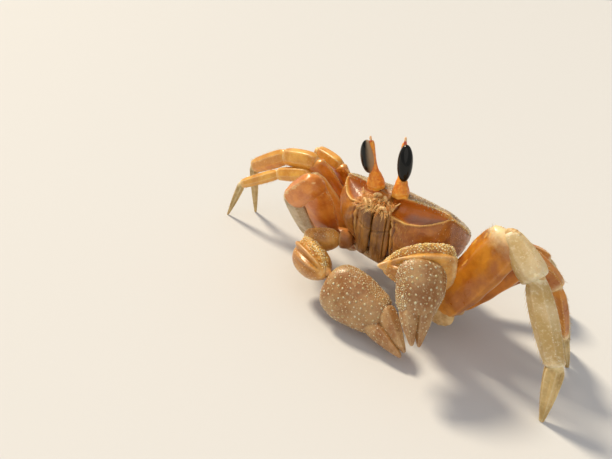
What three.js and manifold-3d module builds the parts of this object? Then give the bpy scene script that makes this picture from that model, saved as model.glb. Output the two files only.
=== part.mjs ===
// Ghost crab: a life-size model of the whole animal, standing still with its body reared up.
// Millimetres. The floor is z = 0, the crab faces -Y, its left side is +X and +Z is up.
import * as THREE from 'three';
import { mergeVertices } from 'three/addons/utils/BufferGeometryUtils.js';
import Module from 'manifold-3d';

const wasm = await Module();
wasm.setup();
const { Manifold, Mesh } = wasm;

// ---------------------------------------------------------------- driving sizes
const STANCE_HEIGHT = 29.5; // floor to the middle of the back
const NOSE_UP = 29.6; // degrees the body is reared up
const LEFT_UP = 3.8; // degrees the left flank is higher
const GAP = 0.3; // clearance between neighbouring pieces

const SHELL = {
  halfWidth: 19.4,
  taper: 6.9, // how much narrower each side is at the back
  front: -17.5,
  chin: -19.0, // the lip under the eye sockets, the foremost part
  chinDrop: 8.0,
  back: 17.5,
  crown: 1.2,
  depth: 21.0, // under the mouth
  depthBack: 15.0,
  tooth: 1.1, // how far the outer corners of the eye sockets stick out
};
const ORBIT = { at: [12.9, -18.2, -4.2], radii: [8.1, 5.2, 3.7], sweep: 17, rise: 6 };
const EYE = { at: [4.5, -17.2, -1.95], stalk: 14.2, style: 2.1, outward: [0.85, -0.52] };
// The left eye is held a little further out of its socket than the right one.
const EYE_HELD = {
  left: { rise: [-0.2, 0.07, 0.977], further: 0.6 },
  right: { rise: [-0.1, -0.25, 0.963], further: 0 },
};
const CORNEA = { length: 9.9, radius: 2.2, start: 4.7, out: 1.6 };
const MAXILLIPED = { width: 6.6, length: 15.4, thickness: 3.6 };
const STERNUM = { width: 25.0, length: 24.0, thickness: 4.0 };
const ABDOMEN = { width: 9.0, length: 17.0, thickness: 1.8 };

// Walking legs: where each pair leaves the body, and [height, width] of every segment.
const LEG_BASE = {
  2: [12.5, -4.0, -18.5],
  3: [13.5, 3.0, -18.0],
  4: [13.0, 9.0, -17.0],
  5: [12.5, 12.5, -14.5],
};
const LEG_SIZE = {
  2: { hip: 6.2, merus: [11.6, 6.0], carpus: [8.8, 5.8], propodus: [6.6, 4.4], dactyl: [4.6, 3.2] },
  3: { hip: 6.2, merus: [10.4, 5.6], carpus: [6.4, 4.8], propodus: [5.2, 3.6], dactyl: [3.6, 2.6] },
  4: { hip: 6.0, merus: [10.0, 5.6], carpus: [7.0, 5.2], propodus: [6.2, 4.2], dactyl: [3.8, 2.8] },
  5: { hip: 5.2, merus: [8.0, 5.0], carpus: [6.0, 4.4], propodus: [4.8, 3.4], dactyl: [3.0, 2.3] },
};
// Pieces of single legs that differ from their pair's.
const LEG_TRIM = {
  left_2: { carpus: [7.4, 5.4] },
  right_2: { merus: [9.4, 6.4], carpus: [8.8, 6.6], propodus: [7.6, 4.6] },
  right_3: { carpus: [5.0, 4.2], propodus: [4.0, 3.2], dactyl: [3.0, 2.4] },
};
// Pose of each leg in degrees: swing is forward, rise is up, lean tips the plane the leg bends in.
const LEG_POSE = {
  left_2: { hip: [12.4, 5, -31.5], swing: 0, lean: -4, rise: [67.6, -37.7, -56.5, -82], long: [31.4, 11.5, 20.3] },
  left_3: { hip: [9.8, -17, -42], swing: -23, lean: 14, rise: [61.8, -44, -70, -66], long: [31.3, 12.2, 17.1] },
  left_4: { hip: [7.6, -32, -18], swing: -22, lean: 21.4, rise: [55.9, -47, -64.5, -68.6], long: [24.8, 11.3, 14.7] },
  left_5: { hip: [6.0, -40, 2], swing: -58, lean: 0, rise: [34, -28, -52, -66], long: [18.0, 9.0, 11.0] },
  right_2: { hip: [11.0, 15, -11], swing: 27, lean: -32, rise: [84.1, -50, -100, -101], long: [24.9, 12.8, 17.8] },
  right_3: { hip: [7.6, 12.4, -17], swing: 19.6, lean: -4.3, rise: [46.5, -15.4, -29, -65], long: [26.1, 13.3, 18.8] },
  right_4: { hip: [8.5, 26, 12], swing: 14.6, lean: -13.3, rise: [50.3, -9, -30, -84], long: [28.6, 13.0, 19.0] },
  right_5: { hip: [9.3, 28, 14], swing: -2.8, lean: -17.9, rise: [61.2, 4, -66, -84], long: [23.9, 11.2, 17.0] },
};

// Claw arms: joints from the body outwards, measured from the middle of the back with +Z up.
const MINOR_ARM = {
  coxa: [11.2, -16.9, -11.5],
  elbow: [14.8, -20.6, -11.6],
  knee: [26.6, -20.6, -8.0],
  wrist: [24.9, -26.8, 1.2],
  palmEnd: [30.0, -33.1, -9.9],
  tip: [33.9, -35.5, -15.4],
  up: [-0.62, -0.76, 0.1],
  merus: [7.4, 6.4],
  carpus: { at: [23.3, -25.4, -2.7], radii: [7.7, 4.6, 6.2], turn: 52.7 },
  palm: [12.6, 7.0],
  finger: [5.0, 4.4],
};
const MAJOR_ARM = {
  coxa: [-8.7, -17.5, -12.6],
  elbow: [-12.4, -20.0, -13.0],
  knee: [-19.0, -28.4, -15.4],
  wrist: [-0.6, -34.0, -17.6],
  palmEnd: [17.6, -28.5, -20.9],
  tip: [27.2, -30.2, -25.6],
  up: [0, 0.5, 0.86],
  merus: [8.2, 6.8],
  carpus: { at: [-9.2, -32.3, -16.5], radii: [7.4, 4.8, 5.6], turn: -10 },
  palm: [16.0, 8.6],
  finger: [6.3, 5.1],
};

const COLOUR = {
  shell: 0xa5713f,
  belly: 0xd9b98a,
  mouth: 0x9a7436,
  stalk: 0xe08a2c,
  cornea: 0x14130f,
  claw: 0xc99a63,
  clawArm: 0xc98a4c,
  hip: 0xc07a35,
  merus: 0xd98a2e,
  carpus: 0xe0b070,
  propodus: 0xddc48c,
  dactyl: 0xe2cf9c,
};

const rad = THREE.MathUtils.degToRad;
const lerp = THREE.MathUtils.lerp;
const clamp = THREE.MathUtils.clamp;
const vec = (a) => new THREE.Vector3(a[0], a[1], a[2]);

// ---------------------------------------------------------------- solids
function toSolid(geometry) {
  const bare = geometry.clone();
  bare.deleteAttribute('normal');
  bare.deleteAttribute('uv');
  const welded = mergeVertices(bare, 1e-4);
  const mesh = new Mesh({
    numProp: 3,
    vertProperties: new Float32Array(welded.attributes.position.array),
    triVerts: new Uint32Array(welded.index.array),
  });
  mesh.merge();
  return new Manifold(mesh);
}

function toGeometry(solid) {
  const mesh = solid.getMesh();
  const geometry = new THREE.BufferGeometry();
  geometry.setAttribute('position', new THREE.BufferAttribute(new Float32Array(mesh.vertProperties), 3));
  geometry.setIndex(new THREE.BufferAttribute(new Uint32Array(mesh.triVerts), 1));
  geometry.computeVertexNormals();
  return geometry;
}

const placed = (solid, matrix) => solid.transform(matrix.elements);

// A limb piece along +X: every ring of a sphere becomes one station of the profile.
// A station is [share of the length, share of the half height, share of the half width].
function limb(profile, length, height, width, { sides = 10, droop = 0, keel = 0, grow = 0 } = {}) {
  const rings = profile.length - 1;
  const geometry = new THREE.SphereGeometry(1, sides, rings);
  const position = geometry.attributes.position;
  for (let i = 0; i < position.count; i += 1) {
    const polar = Math.acos(clamp(position.getY(i), -1, 1));
    const ring = Math.round((polar / Math.PI) * rings);
    const [along, tall, wide] = profile[ring];
    const ringRadius = Math.sin((ring * Math.PI) / rings);
    const pole = ringRadius < 1e-6;
    const across = pole ? 0 : position.getX(i) / ringRadius;
    const up = pole ? 0 : position.getZ(i) / ringRadius;
    const ridge = 1 + keel * Math.max(0, up) ** 4;
    const halfWidth = (width / 2) * wide + (pole ? 0 : grow);
    const halfHeight = ((height / 2) * tall + (pole ? 0 : grow)) * ridge;
    const x = length * along + (pole ? (ring === 0 ? -grow : grow) : 0);
    position.setXYZ(i, x, across * halfWidth, up * halfHeight - droop * along * along);
  }
  return toSolid(geometry);
}

function ellipsoid(radii, sides, rings, grow = 0) {
  const geometry = new THREE.SphereGeometry(1, sides, rings);
  geometry.scale(radii[0] + grow, radii[1] + grow, radii[2] + grow);
  return toSolid(geometry);
}

// Placement of a limb piece: +X runs from one joint to the next, +Z is as near to up as it can be.
function along(from, to, up) {
  const x = to.clone().sub(from).normalize();
  const y = up.clone().cross(x).normalize();
  const z = x.clone().cross(y);
  return new THREE.Matrix4().makeBasis(x, y, z).setPosition(from);
}

const PROFILE = {
  hip: [
    [0, 0, 0], [0.04, 0.62, 0.62], [0.3, 0.95, 0.95], [0.7, 1, 1], [0.94, 0.72, 0.72], [1, 0, 0],
  ],
  merus: [
    [0, 0, 0], [0.015, 0.46, 0.55], [0.1, 0.68, 0.8], [0.32, 0.92, 1], [0.6, 0.98, 1],
    [0.85, 1, 0.92], [0.965, 0.8, 0.74], [1, 0, 0],
  ],
  carpus: [
    [0, 0, 0], [0.03, 0.48, 0.6], [0.2, 0.72, 0.82], [0.62, 1, 1], [0.9, 0.94, 0.94], [0.98, 0.62, 0.62], [1, 0, 0],
  ],
  propodus: [
    [0, 0, 0], [0.02, 0.58, 0.62], [0.14, 0.84, 0.88], [0.42, 1, 1], [0.85, 0.8, 0.82],
    [0.975, 0.62, 0.62], [1, 0, 0],
  ],
  dactyl: [
    [0, 0, 0], [0.02, 0.6, 0.66], [0.12, 1, 1], [0.45, 0.84, 0.84], [0.75, 0.56, 0.58],
    [0.93, 0.33, 0.4], [0.985, 0.26, 0.34], [1, 0, 0],
  ],
  palm: [
    [0, 0, 0], [0.03, 0.58, 0.62], [0.14, 0.86, 0.9], [0.4, 1, 1], [0.66, 0.92, 0.94],
    [0.9, 0.76, 0.76], [0.98, 0.56, 0.54], [1, 0, 0],
  ],
  finger: [
    [0, 0, 0], [0.03, 0.7, 0.7], [0.16, 1, 1], [0.5, 0.76, 0.8], [0.8, 0.46, 0.52], [0.96, 0.24, 0.28], [1, 0, 0],
  ],
  stalk: [
    [0, 0, 0], [0.01, 1, 1], [0.1, 0.98, 0.95], [0.2, 0.72, 0.7], [0.32, 0.52, 0.5], [0.62, 0.5, 0.5],
    [0.84, 0.4, 0.4], [0.9, 0.2, 0.22], [0.98, 0.18, 0.18], [1, 0, 0],
  ],
  eye: [
    [0, 0, 0], [0.05, 0.46, 0.46], [0.2, 0.84, 0.84], [0.5, 1, 1], [0.8, 0.84, 0.84], [0.95, 0.46, 0.46], [1, 0, 0],
  ],
  plate: [
    [0, 0, 0], [0.04, 0.5, 0.66], [0.15, 0.85, 0.95], [0.5, 1, 1], [0.85, 0.85, 0.88], [0.96, 0.5, 0.62], [1, 0, 0],
  ],
  taper: [
    [0, 0, 0], [0.03, 0.6, 0.35], [0.14, 0.85, 0.5], [0.5, 1, 0.68], [0.85, 0.85, 0.96], [0.97, 0.5, 0.8], [1, 0, 0],
  ],
};

// ---------------------------------------------------------------- body
// How high the roof and floor of the shell are, how wide it is and where its front and back lie.
function shellTop(side, depthShare) {
  const droopFront = 1.6 * Math.max(0, 1 - depthShare / 0.16) ** 2 * (1 - side * side);
  const droopBack = 4.2 * Math.max(0, (depthShare - 0.7) / 0.3) ** 2;
  return SHELL.crown * (1 - side * side) - droopFront - droopBack;
}

function shellBottom(side, depthShare) {
  return -lerp(SHELL.depth, SHELL.depthBack, depthShare) + 4.5 * Math.abs(side) ** 3;
}

function shellHalfWidth(depthShare, z) {
  const narrowing = 1 - 0.3 * (Math.max(0, -5 - z) / 16) ** 2;
  return (SHELL.halfWidth - SHELL.taper * depthShare ** 3) * narrowing;
}

function shellFront(side, z) {
  const drop = -z;
  const lip = lerp(SHELL.front, SHELL.chin, clamp(drop / SHELL.chinDrop, 0, 1));
  const chin = 10 * (Math.max(0, drop - SHELL.chinDrop) / 13) ** 1.7;
  return lip + chin + 4.0 * Math.abs(side) ** 2.4;
}

function shellBack(side, z) {
  return SHELL.back - 3 * side * side - 3.5 * (z / 18) ** 2;
}

function shellSolid(grow = 0) {
  const geometry = new THREE.BoxGeometry(2, 2, 2, 12, 8, 6);
  const position = geometry.attributes.position;
  const point = new THREE.Vector3();
  for (let i = 0; i < position.count; i += 1) {
    point.fromBufferAttribute(position, i);
    const frontTop = clamp(-point.y, 0, 1) * clamp((point.z + 1) / 2, 0, 1);
    const power = 4.5 + 8 * frontTop;
    const sum = Math.abs(point.x) ** power + Math.abs(point.y) ** power + Math.abs(point.z) ** power;
    const round = 1 / sum ** (1 / power);
    const side = point.x * round;
    const deep = (point.y * round + 1) / 2;
    const high = (point.z * round + 1) / 2;
    const z = lerp(shellBottom(side, deep), shellTop(side, deep), high);
    const y = lerp(shellFront(side, z), shellBack(side, z), deep);
    const x = side * shellHalfWidth(deep, z);
    const corner = Math.max(0, Math.abs(side) - 0.72) / 0.28 * frontTop ** 2;
    const push = 1 + grow / 12;
    position.setXYZ(
      i,
      (x + Math.sign(side) * SHELL.tooth * corner) * push,
      (y - SHELL.tooth * corner) * push,
      (z + 9 + 0.4 * SHELL.tooth * corner) * push - 9,
    );
  }
  return toSolid(geometry);
}

function maxillipedMatrix(side) {
  const top = new THREE.Vector3(side * 3.46, -20.3, -6.8);
  const bottom = new THREE.Vector3(side * 3.46, -12.8, -20.8);
  return along(top, bottom, new THREE.Vector3(side * 0.2, -1, 0));
}

function maxilliped(side, grow = 0) {
  const { width, length, thickness } = MAXILLIPED;
  const solid = limb(PROFILE.plate, length, thickness, width, { sides: 10, grow });
  return placed(solid, maxillipedMatrix(side));
}

const sternumMatrix = along(
  new THREE.Vector3(0, -9.6, -20.4),
  new THREE.Vector3(0, 14.6, -15.2),
  new THREE.Vector3(0, 0, -1),
);
const sternum = (grow = 0) => placed(
  limb(PROFILE.plate, STERNUM.length, STERNUM.thickness, STERNUM.width, { sides: 10, grow }),
  sternumMatrix,
);

const abdomenMatrix = along(
  new THREE.Vector3(0, -3.6, -21.0),
  new THREE.Vector3(0, 13.4, -17.4),
  new THREE.Vector3(0, 0, -1),
);
const abdomen = (grow = 0) => placed(
  limb(PROFILE.taper, ABDOMEN.length, ABDOMEN.thickness, ABDOMEN.width, { sides: 10, grow }),
  abdomenMatrix,
);

function orbitCutter(side) {
  const turn = new THREE.Euler(0, rad(-ORBIT.rise) * side, rad(ORBIT.sweep) * side, 'ZYX');
  const matrix = new THREE.Matrix4().makeRotationFromEuler(turn);
  matrix.setPosition(side * ORBIT.at[0], ORBIT.at[1], ORBIT.at[2]);
  return placed(ellipsoid(ORBIT.radii, 10, 6), matrix);
}

// The body tilts as one piece: its own frame has +Z out of the back.
const bodyTurn = new THREE.Euler(rad(-NOSE_UP), rad(-LEFT_UP), 0, 'XYZ');
const bodyMatrix = new THREE.Matrix4().makeRotationFromEuler(bodyTurn);
const bodyUp = new THREE.Vector3(0, 0, 1).transformDirection(bodyMatrix);
const bodyInverse = bodyMatrix.clone().invert();

function eyeFrame(side) {
  const foot = new THREE.Vector3(side * EYE.at[0], EYE.at[1], EYE.at[2]).applyMatrix4(bodyMatrix);
  const held = side > 0 ? EYE_HELD.left : EYE_HELD.right;
  const rise = vec(held.rise).normalize();
  const tip = foot.clone().addScaledVector(rise, EYE.stalk + held.further + EYE.style);
  const outward = new THREE.Vector3(side * EYE.outward[0], EYE.outward[1], 0);
  return { foot, rise, outward, further: held.further, matrix: along(foot, tip, outward.clone().negate()) };
}

function cornea(side, grow = 0) {
  const { foot, rise, outward, further } = eyeFrame(side);
  const start = foot.clone()
    .addScaledVector(rise, CORNEA.start + further)
    .addScaledVector(outward, CORNEA.out);
  const end = start.clone().addScaledVector(rise, CORNEA.length);
  const size = CORNEA.radius * 2;
  const form = limb(PROFILE.eye, CORNEA.length, size, size, { sides: 10, grow });
  return placed(form, along(start, end, outward));
}

function eyeStalk(side, grow = 0) {
  const { further, matrix } = eyeFrame(side);
  return placed(limb(PROFILE.stalk, EYE.stalk + further + EYE.style, 5.4, 5.0, { sides: 8, grow }), matrix);
}

// Everything below is measured from the middle of the back with +Z up, the body already tilted.
const toFloorFrame = (solid) => placed(solid, bodyMatrix);
const pieces = [];

function addPiece(name, solid, matrix, colour, roughness) {
  const local = matrix.clone().invert();
  const mesh = new THREE.Mesh(
    toGeometry(placed(solid, local)),
    new THREE.MeshStandardMaterial({ color: colour, roughness, metalness: 0 }),
  );
  mesh.name = name;
  mesh.position.setFromMatrixPosition(matrix);
  mesh.quaternion.setFromRotationMatrix(matrix);
  pieces.push(mesh);
  return mesh;
}

const stalks = { left: eyeStalk(1), right: eyeStalk(-1) };
let shell = shellSolid();
for (const side of [1, -1]) {
  shell = shell.subtract(orbitCutter(side));
  shell = shell.subtract(maxilliped(side, GAP));
  shell = shell.subtract(placed(eyeStalk(side, GAP), bodyInverse));
}
shell = shell.subtract(sternum(GAP));
const shellInPlace = toFloorFrame(shell);
const shellGrown = toFloorFrame(shellSolid(GAP));
const sternumSolid = toFloorFrame(sternum().subtract(abdomen(GAP)));
const sternumGrown = toFloorFrame(sternum(GAP));
const abdomenSolid = toFloorFrame(abdomen());
const abdomenGrown = toFloorFrame(abdomen(GAP));

addPiece('carapace', shellInPlace, bodyMatrix, COLOUR.shell, 0.5);
addPiece('sternum', sternumSolid, bodyMatrix.clone().multiply(sternumMatrix), COLOUR.belly, 0.55);
addPiece('abdomen', abdomenSolid, bodyMatrix.clone().multiply(abdomenMatrix), COLOUR.belly, 0.5);
for (const [name, side] of [['left', 1], ['right', -1]]) {
  const jaw = toFloorFrame(maxilliped(side));
  addPiece(`maxilliped_${name}`, jaw, bodyMatrix.clone().multiply(maxillipedMatrix(side)), COLOUR.mouth, 0.5);
  const { matrix } = eyeFrame(side);
  addPiece(`eyestalk_${name}`, stalks[name].subtract(cornea(side, GAP)), matrix, COLOUR.stalk, 0.45);
  addPiece(`cornea_${name}`, cornea(side), matrix, COLOUR.cornea, 0.12);
}
const mouthGrown = toFloorFrame(maxilliped(1, GAP).add(maxilliped(-1, GAP)));

// ---------------------------------------------------------------- walking legs
// Direction of a piece that swings forward and rises, in a plane tipped by lean.
function heading(side, swing, rise, lean = 0) {
  const out = new THREE.Vector3(side * Math.cos(rad(swing)), -Math.sin(rad(swing)), 0);
  const normal = out.clone().cross(new THREE.Vector3(0, 0, 1));
  const up = new THREE.Vector3(0, 0, Math.cos(rad(lean))).addScaledVector(normal, Math.sin(rad(lean)));
  const direction = out.clone().multiplyScalar(Math.cos(rad(rise))).addScaledVector(up, Math.sin(rad(rise)));
  const dorsal = out.clone().multiplyScalar(-Math.sin(rad(rise))).addScaledVector(up, Math.cos(rad(rise)));
  return { direction, dorsal };
}

function legPiece(kind, size, from, reach, dorsal, options = {}) {
  const matrix = along(from, from.clone().add(reach), dorsal);
  const [height, width] = size;
  const make = (grow) => placed(
    limb(PROFILE[kind], reach.length(), height, width, { ...options, grow }),
    matrix,
  );
  return { matrix, solid: make(0), grown: make(GAP) };
}

function buildLeg(name, side, pair, neighbour) {
  const pose = LEG_POSE[`${name}_${pair}`];
  const size = { ...LEG_SIZE[pair], ...LEG_TRIM[`${name}_${pair}`] };
  const base = LEG_BASE[pair];
  const coxa = new THREE.Vector3(side * base[0], base[1], base[2]).applyMatrix4(bodyMatrix);
  const [hipLength, hipSwing, hipRise] = pose.hip;
  const hipWay = heading(side, hipSwing, hipRise);
  const start = coxa.clone().addScaledVector(hipWay.direction, -1.5);
  const hip = legPiece('hip', [size.hip, size.hip], start,
    hipWay.direction.clone().multiplyScalar(hipLength + 1.5), hipWay.dorsal, { sides: 8 });
  hip.solid = hip.solid.subtract(shellGrown).subtract(sternumGrown);
  if (neighbour) hip.solid = hip.solid.subtract(neighbour.hip.grown);
  addPiece(`leg_${name}_${pair}_hip`, hip.solid, hip.matrix, COLOUR.hip, 0.5);
  let joint = coxa.clone().addScaledVector(hipWay.direction, hipLength);
  let before = hip;
  let merus = null;
  const kinds = ['merus', 'carpus', 'propodus', 'dactyl'];
  for (let i = 0; i < kinds.length; i += 1) {
    const kind = kinds[i];
    const way = heading(side, pose.swing, pose.rise[i], pose.lean);
    let length = pose.long[i];
    if (kind === 'dactyl') length = (joint.z + STANCE_HEIGHT + 0.3) / -way.direction.z;
    const sides = kind === 'merus' ? 10 : 8;
    const options = { sides, keel: kind === 'merus' ? 0.12 : 0 };
    const reach = way.direction.clone().multiplyScalar(length);
    const piece = legPiece(kind, size[kind], joint, reach, way.dorsal, options);
    piece.solid = piece.solid.subtract(before.grown);
    if (kind === 'merus') {
      piece.solid = piece.solid.subtract(shellGrown);
      if (neighbour) piece.solid = piece.solid.subtract(neighbour.merus.grown);
      merus = piece;
    }
    if (kind === 'dactyl') piece.solid = piece.solid.trimByPlane([0, 0, 1], -STANCE_HEIGHT);
    addPiece(`leg_${name}_${pair}_${kind}`, piece.solid, piece.matrix, COLOUR[kind], 0.45);
    joint = joint.clone().addScaledVector(way.direction, length);
    before = piece;
  }
  return { hip, merus };
}

// ---------------------------------------------------------------- claws
function buildClaw(name, arm) {
  const joints = ['coxa', 'elbow', 'knee', 'wrist', 'palmEnd', 'tip'];
  const at = Object.fromEntries(joints.map((key) => [key, vec(arm[key])]));
  const up = vec(arm.up);
  const body = shellGrown.add(sternumGrown).add(mouthGrown).add(abdomenGrown);
  const reach = (a, b) => b.clone().sub(a);

  const sky = new THREE.Vector3(0, 0, 1);
  const ischium = legPiece('hip', [6.2, 5.8], at.coxa, reach(at.coxa, at.elbow), sky, { sides: 8 });
  ischium.solid = ischium.solid.subtract(body);
  const merus = legPiece('merus', arm.merus, at.elbow, reach(at.elbow, at.knee), sky);
  merus.solid = merus.solid.subtract(ischium.grown).subtract(body);

  const palm = legPiece('palm', arm.palm, at.wrist, reach(at.wrist, at.palmEnd), up, { sides: 10 });
  const palmWay = reach(at.wrist, at.palmEnd).normalize();
  const palmUp = new THREE.Vector3(0, 0, 1).transformDirection(palm.matrix);
  const low = at.palmEnd.clone().addScaledVector(palmUp, -arm.palm[0] * 0.165).addScaledVector(palmWay, -4.0);
  const high = at.palmEnd.clone().addScaledVector(palmUp, arm.palm[0] * 0.165).addScaledVector(palmWay, -2.0);
  const lowTip = at.tip.clone().addScaledVector(palmUp, -0.5);
  const highTip = at.tip.clone().addScaledVector(palmUp, 0.6);
  const pollex = legPiece('finger', arm.finger, low, reach(low, lowTip), palmUp, { sides: 8, droop: 0.2 });
  const dactyl = legPiece('finger', arm.finger, high, reach(high, highTip), palmUp, { sides: 8, droop: -0.4 });
  palm.solid = palm.solid.add(pollex.solid);
  palm.grown = palm.grown.add(pollex.grown);
  dactyl.solid = dactyl.solid.subtract(palm.grown);

  const carpusMatrix = new THREE.Matrix4().makeRotationZ(rad(arm.carpus.turn));
  carpusMatrix.setPosition(vec(arm.carpus.at));
  const makeCarpus = (grow) => placed(ellipsoid(arm.carpus.radii, 10, 6, grow), carpusMatrix);
  const carpus = makeCarpus(0).subtract(merus.grown).subtract(palm.grown).subtract(body);

  addPiece(`cheliped_${name}_ischium`, ischium.solid, ischium.matrix, COLOUR.hip, 0.5);
  addPiece(`cheliped_${name}_merus`, merus.solid.subtract(palm.grown), merus.matrix, COLOUR.clawArm, 0.5);
  addPiece(`cheliped_${name}_carpus`, carpus, carpusMatrix, COLOUR.clawArm, 0.5);
  addPiece(`cheliped_${name}_palm`, palm.solid, palm.matrix, COLOUR.claw, 0.5);
  addPiece(`cheliped_${name}_dactyl`, dactyl.solid, dactyl.matrix, COLOUR.claw, 0.45);
}

buildClaw('left', MINOR_ARM);
buildClaw('right', MAJOR_ARM);
for (const [name, side] of [['left', 1], ['right', -1]]) {
  let neighbour = null;
  for (const pair of [2, 3, 4, 5]) neighbour = buildLeg(name, side, pair, neighbour);
}

// ---------------------------------------------------------------- the whole crab
const group = new THREE.Group();
group.name = 'ghost_crab';
const crab = new THREE.Group();
crab.name = 'standing_crab';
for (const piece of pieces) crab.add(piece);
crab.position.z = STANCE_HEIGHT;
group.add(crab);
group.updateMatrixWorld(true);
const box = new THREE.Box3().setFromObject(group, true);
crab.position.x = -(box.min.x + box.max.x) / 2;
crab.position.y = -(box.min.y + box.max.y) / 2;

export default group;
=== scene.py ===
# %% [markdown]
# # A ghost crab, standing
# This script dresses a plain, faceted frame of a ghost crab in its real surface: hollow eye sockets, pearly
# grains, ridged legs, jointed mouthparts and bristles. The frame says where every part of the animal is, in
# metres, with the floor at z = 0 and the crab facing -Y. Each new piece is made in millimetres round its own
# joint, where it is easy to think about, and is put in place at a thousandth of that size when it is done.

# %% Load the frame
import math
from functools import partial

import bpy
import numpy as np
from mathutils import Matrix, Vector


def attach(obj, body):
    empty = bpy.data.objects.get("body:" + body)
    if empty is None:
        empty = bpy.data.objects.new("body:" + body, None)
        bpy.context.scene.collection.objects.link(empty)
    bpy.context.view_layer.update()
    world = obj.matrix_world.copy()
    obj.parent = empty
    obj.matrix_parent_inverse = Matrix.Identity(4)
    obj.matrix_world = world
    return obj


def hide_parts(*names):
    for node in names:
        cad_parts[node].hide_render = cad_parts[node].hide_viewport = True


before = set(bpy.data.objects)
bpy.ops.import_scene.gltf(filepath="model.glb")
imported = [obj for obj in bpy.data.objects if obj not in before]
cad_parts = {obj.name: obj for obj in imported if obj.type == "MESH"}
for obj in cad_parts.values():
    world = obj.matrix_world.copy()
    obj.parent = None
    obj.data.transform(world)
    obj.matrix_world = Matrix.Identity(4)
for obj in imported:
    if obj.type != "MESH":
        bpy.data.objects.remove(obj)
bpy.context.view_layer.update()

# %% [markdown]
# ## Where things are
# A crab's body is a box with ten limbs plugged into it, so three facts place everything: where the middle of the
# back is, how the body leans, and the angles of each limb's joints. They are the same sizes that the frame was
# made from. They are repeated here as named values, because measuring them back off the frame's facets would be
# less exact.

# %% Middle of the back, lean of the body
MM = 0.001
BACK = Vector((6.000996, 0.472659, 29.5))
NOSE_UP, LEFT_UP = math.radians(29.6), math.radians(3.8)
BODY = (
    Matrix.Translation(BACK)
    @ Matrix.Rotation(-NOSE_UP, 4, "X")
    @ Matrix.Rotation(-LEFT_UP, 4, "Y")
)
STANDING, LEANING = Matrix.Translation(BACK), BODY.to_3x3()
SKY = Vector((0, 0, 1))
SIDES = {"left": 1, "right": -1}
chance = np.random.default_rng(20)
print("the middle of the back is", round(BACK.z, 1), "mm above the floor")

# %% [markdown]
# ## Small tools
# Almost every piece of a crab is a tube that swells and narrows. The tools here select nothing by accident,
# build such a tube by extruding a disc, round it with a subdivision surface, and write down on every point where
# it lies along the piece, so that colours and ridges can follow the limb whatever way it points in the end.

# %% Tools for starting and smoothing a piece
def clear_selection():
    if bpy.context.object and bpy.context.object.mode == "EDIT":
        bpy.ops.object.mode_set(mode="OBJECT")
    bpy.ops.object.select_all(action="DESELECT")


def points_of(piece):
    places = np.empty(len(piece.data.vertices) * 3)
    piece.data.vertices.foreach_get("co", places)
    return places.reshape(-1, 3)


def normals_of(piece):
    ways = np.empty(len(piece.data.vertices) * 3, dtype=np.float32)
    piece.data.vertex_normals.foreach_get("vector", ways)
    return ways.reshape(-1, 3).astype(float)


def move_points(piece, places):
    piece.data.vertices.foreach_set("co", np.ascontiguousarray(places, dtype=np.float32).ravel())
    piece.data.update()


def note(piece, name, values):
    """Writes a number or a vector on every point, for the finishes to read."""
    values = np.asarray(values, dtype=np.float32)
    kind = ("FLOAT", "value") if values.ndim == 1 else ("FLOAT_VECTOR", "vector")
    piece.data.attributes.new(name, kind[0], "POINT").data.foreach_set(kind[1], values.ravel())


def hill(value, top, spread):
    """1 at the top, falling softly to 0 on both sides."""
    return np.exp(-(((value - top) / spread) ** 2))


def hill_round(turn, top, spread):
    """The same round a limb, where 180 and -180 degrees meet."""
    return np.exp(-((((turn - top + 180) % 360 - 180) / spread) ** 2))


def rows_round(turn, angles, spread):
    """Ridges at several angles round a limb."""
    return sum(hill_round(turn, angle, spread) for angle in angles)


def soft_step(value, low, high):
    """0 below low, rising softly to 1 above high."""
    t = np.clip((value - low) / (high - low), 0, 1)
    return t * t * (3 - 2 * t)


def soft_drop(value, low, high):
    """1 below low, falling softly to 0 above high."""
    return soft_step(-value, -high, -low)


def smooth_form(piece, levels):
    piece.modifiers.new("round", "SUBSURF").levels = levels
    piece.modifiers["round"].render_levels = levels
    bpy.ops.object.modifier_apply(modifier="round")
    bpy.ops.object.shade_smooth()


def put_in_place(piece, place):
    """Turns a piece made in millimetres round the origin into one that lies in the frame."""
    clear_selection()
    piece.select_set(True)
    bpy.context.view_layer.objects.active = piece
    piece.matrix_world = Matrix.Scale(MM, 4) @ place
    bpy.ops.object.transform_apply(location=True, rotation=True, scale=True)


def basis(start, end, up):
    """+X from one joint to the next, +Z as near to up as it can be."""
    x = (end - start).normalized()
    y = up.cross(x).normalized()
    z = x.cross(y)
    return Matrix((x, y, z)).transposed().to_4x4(), (end - start).length


# %% The limb tool: a disc extruded from ring to ring
PATTERN_SHIFT = 40  # mm. Each limb reads its own stretch of the patterns, so that no two look alike


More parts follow.
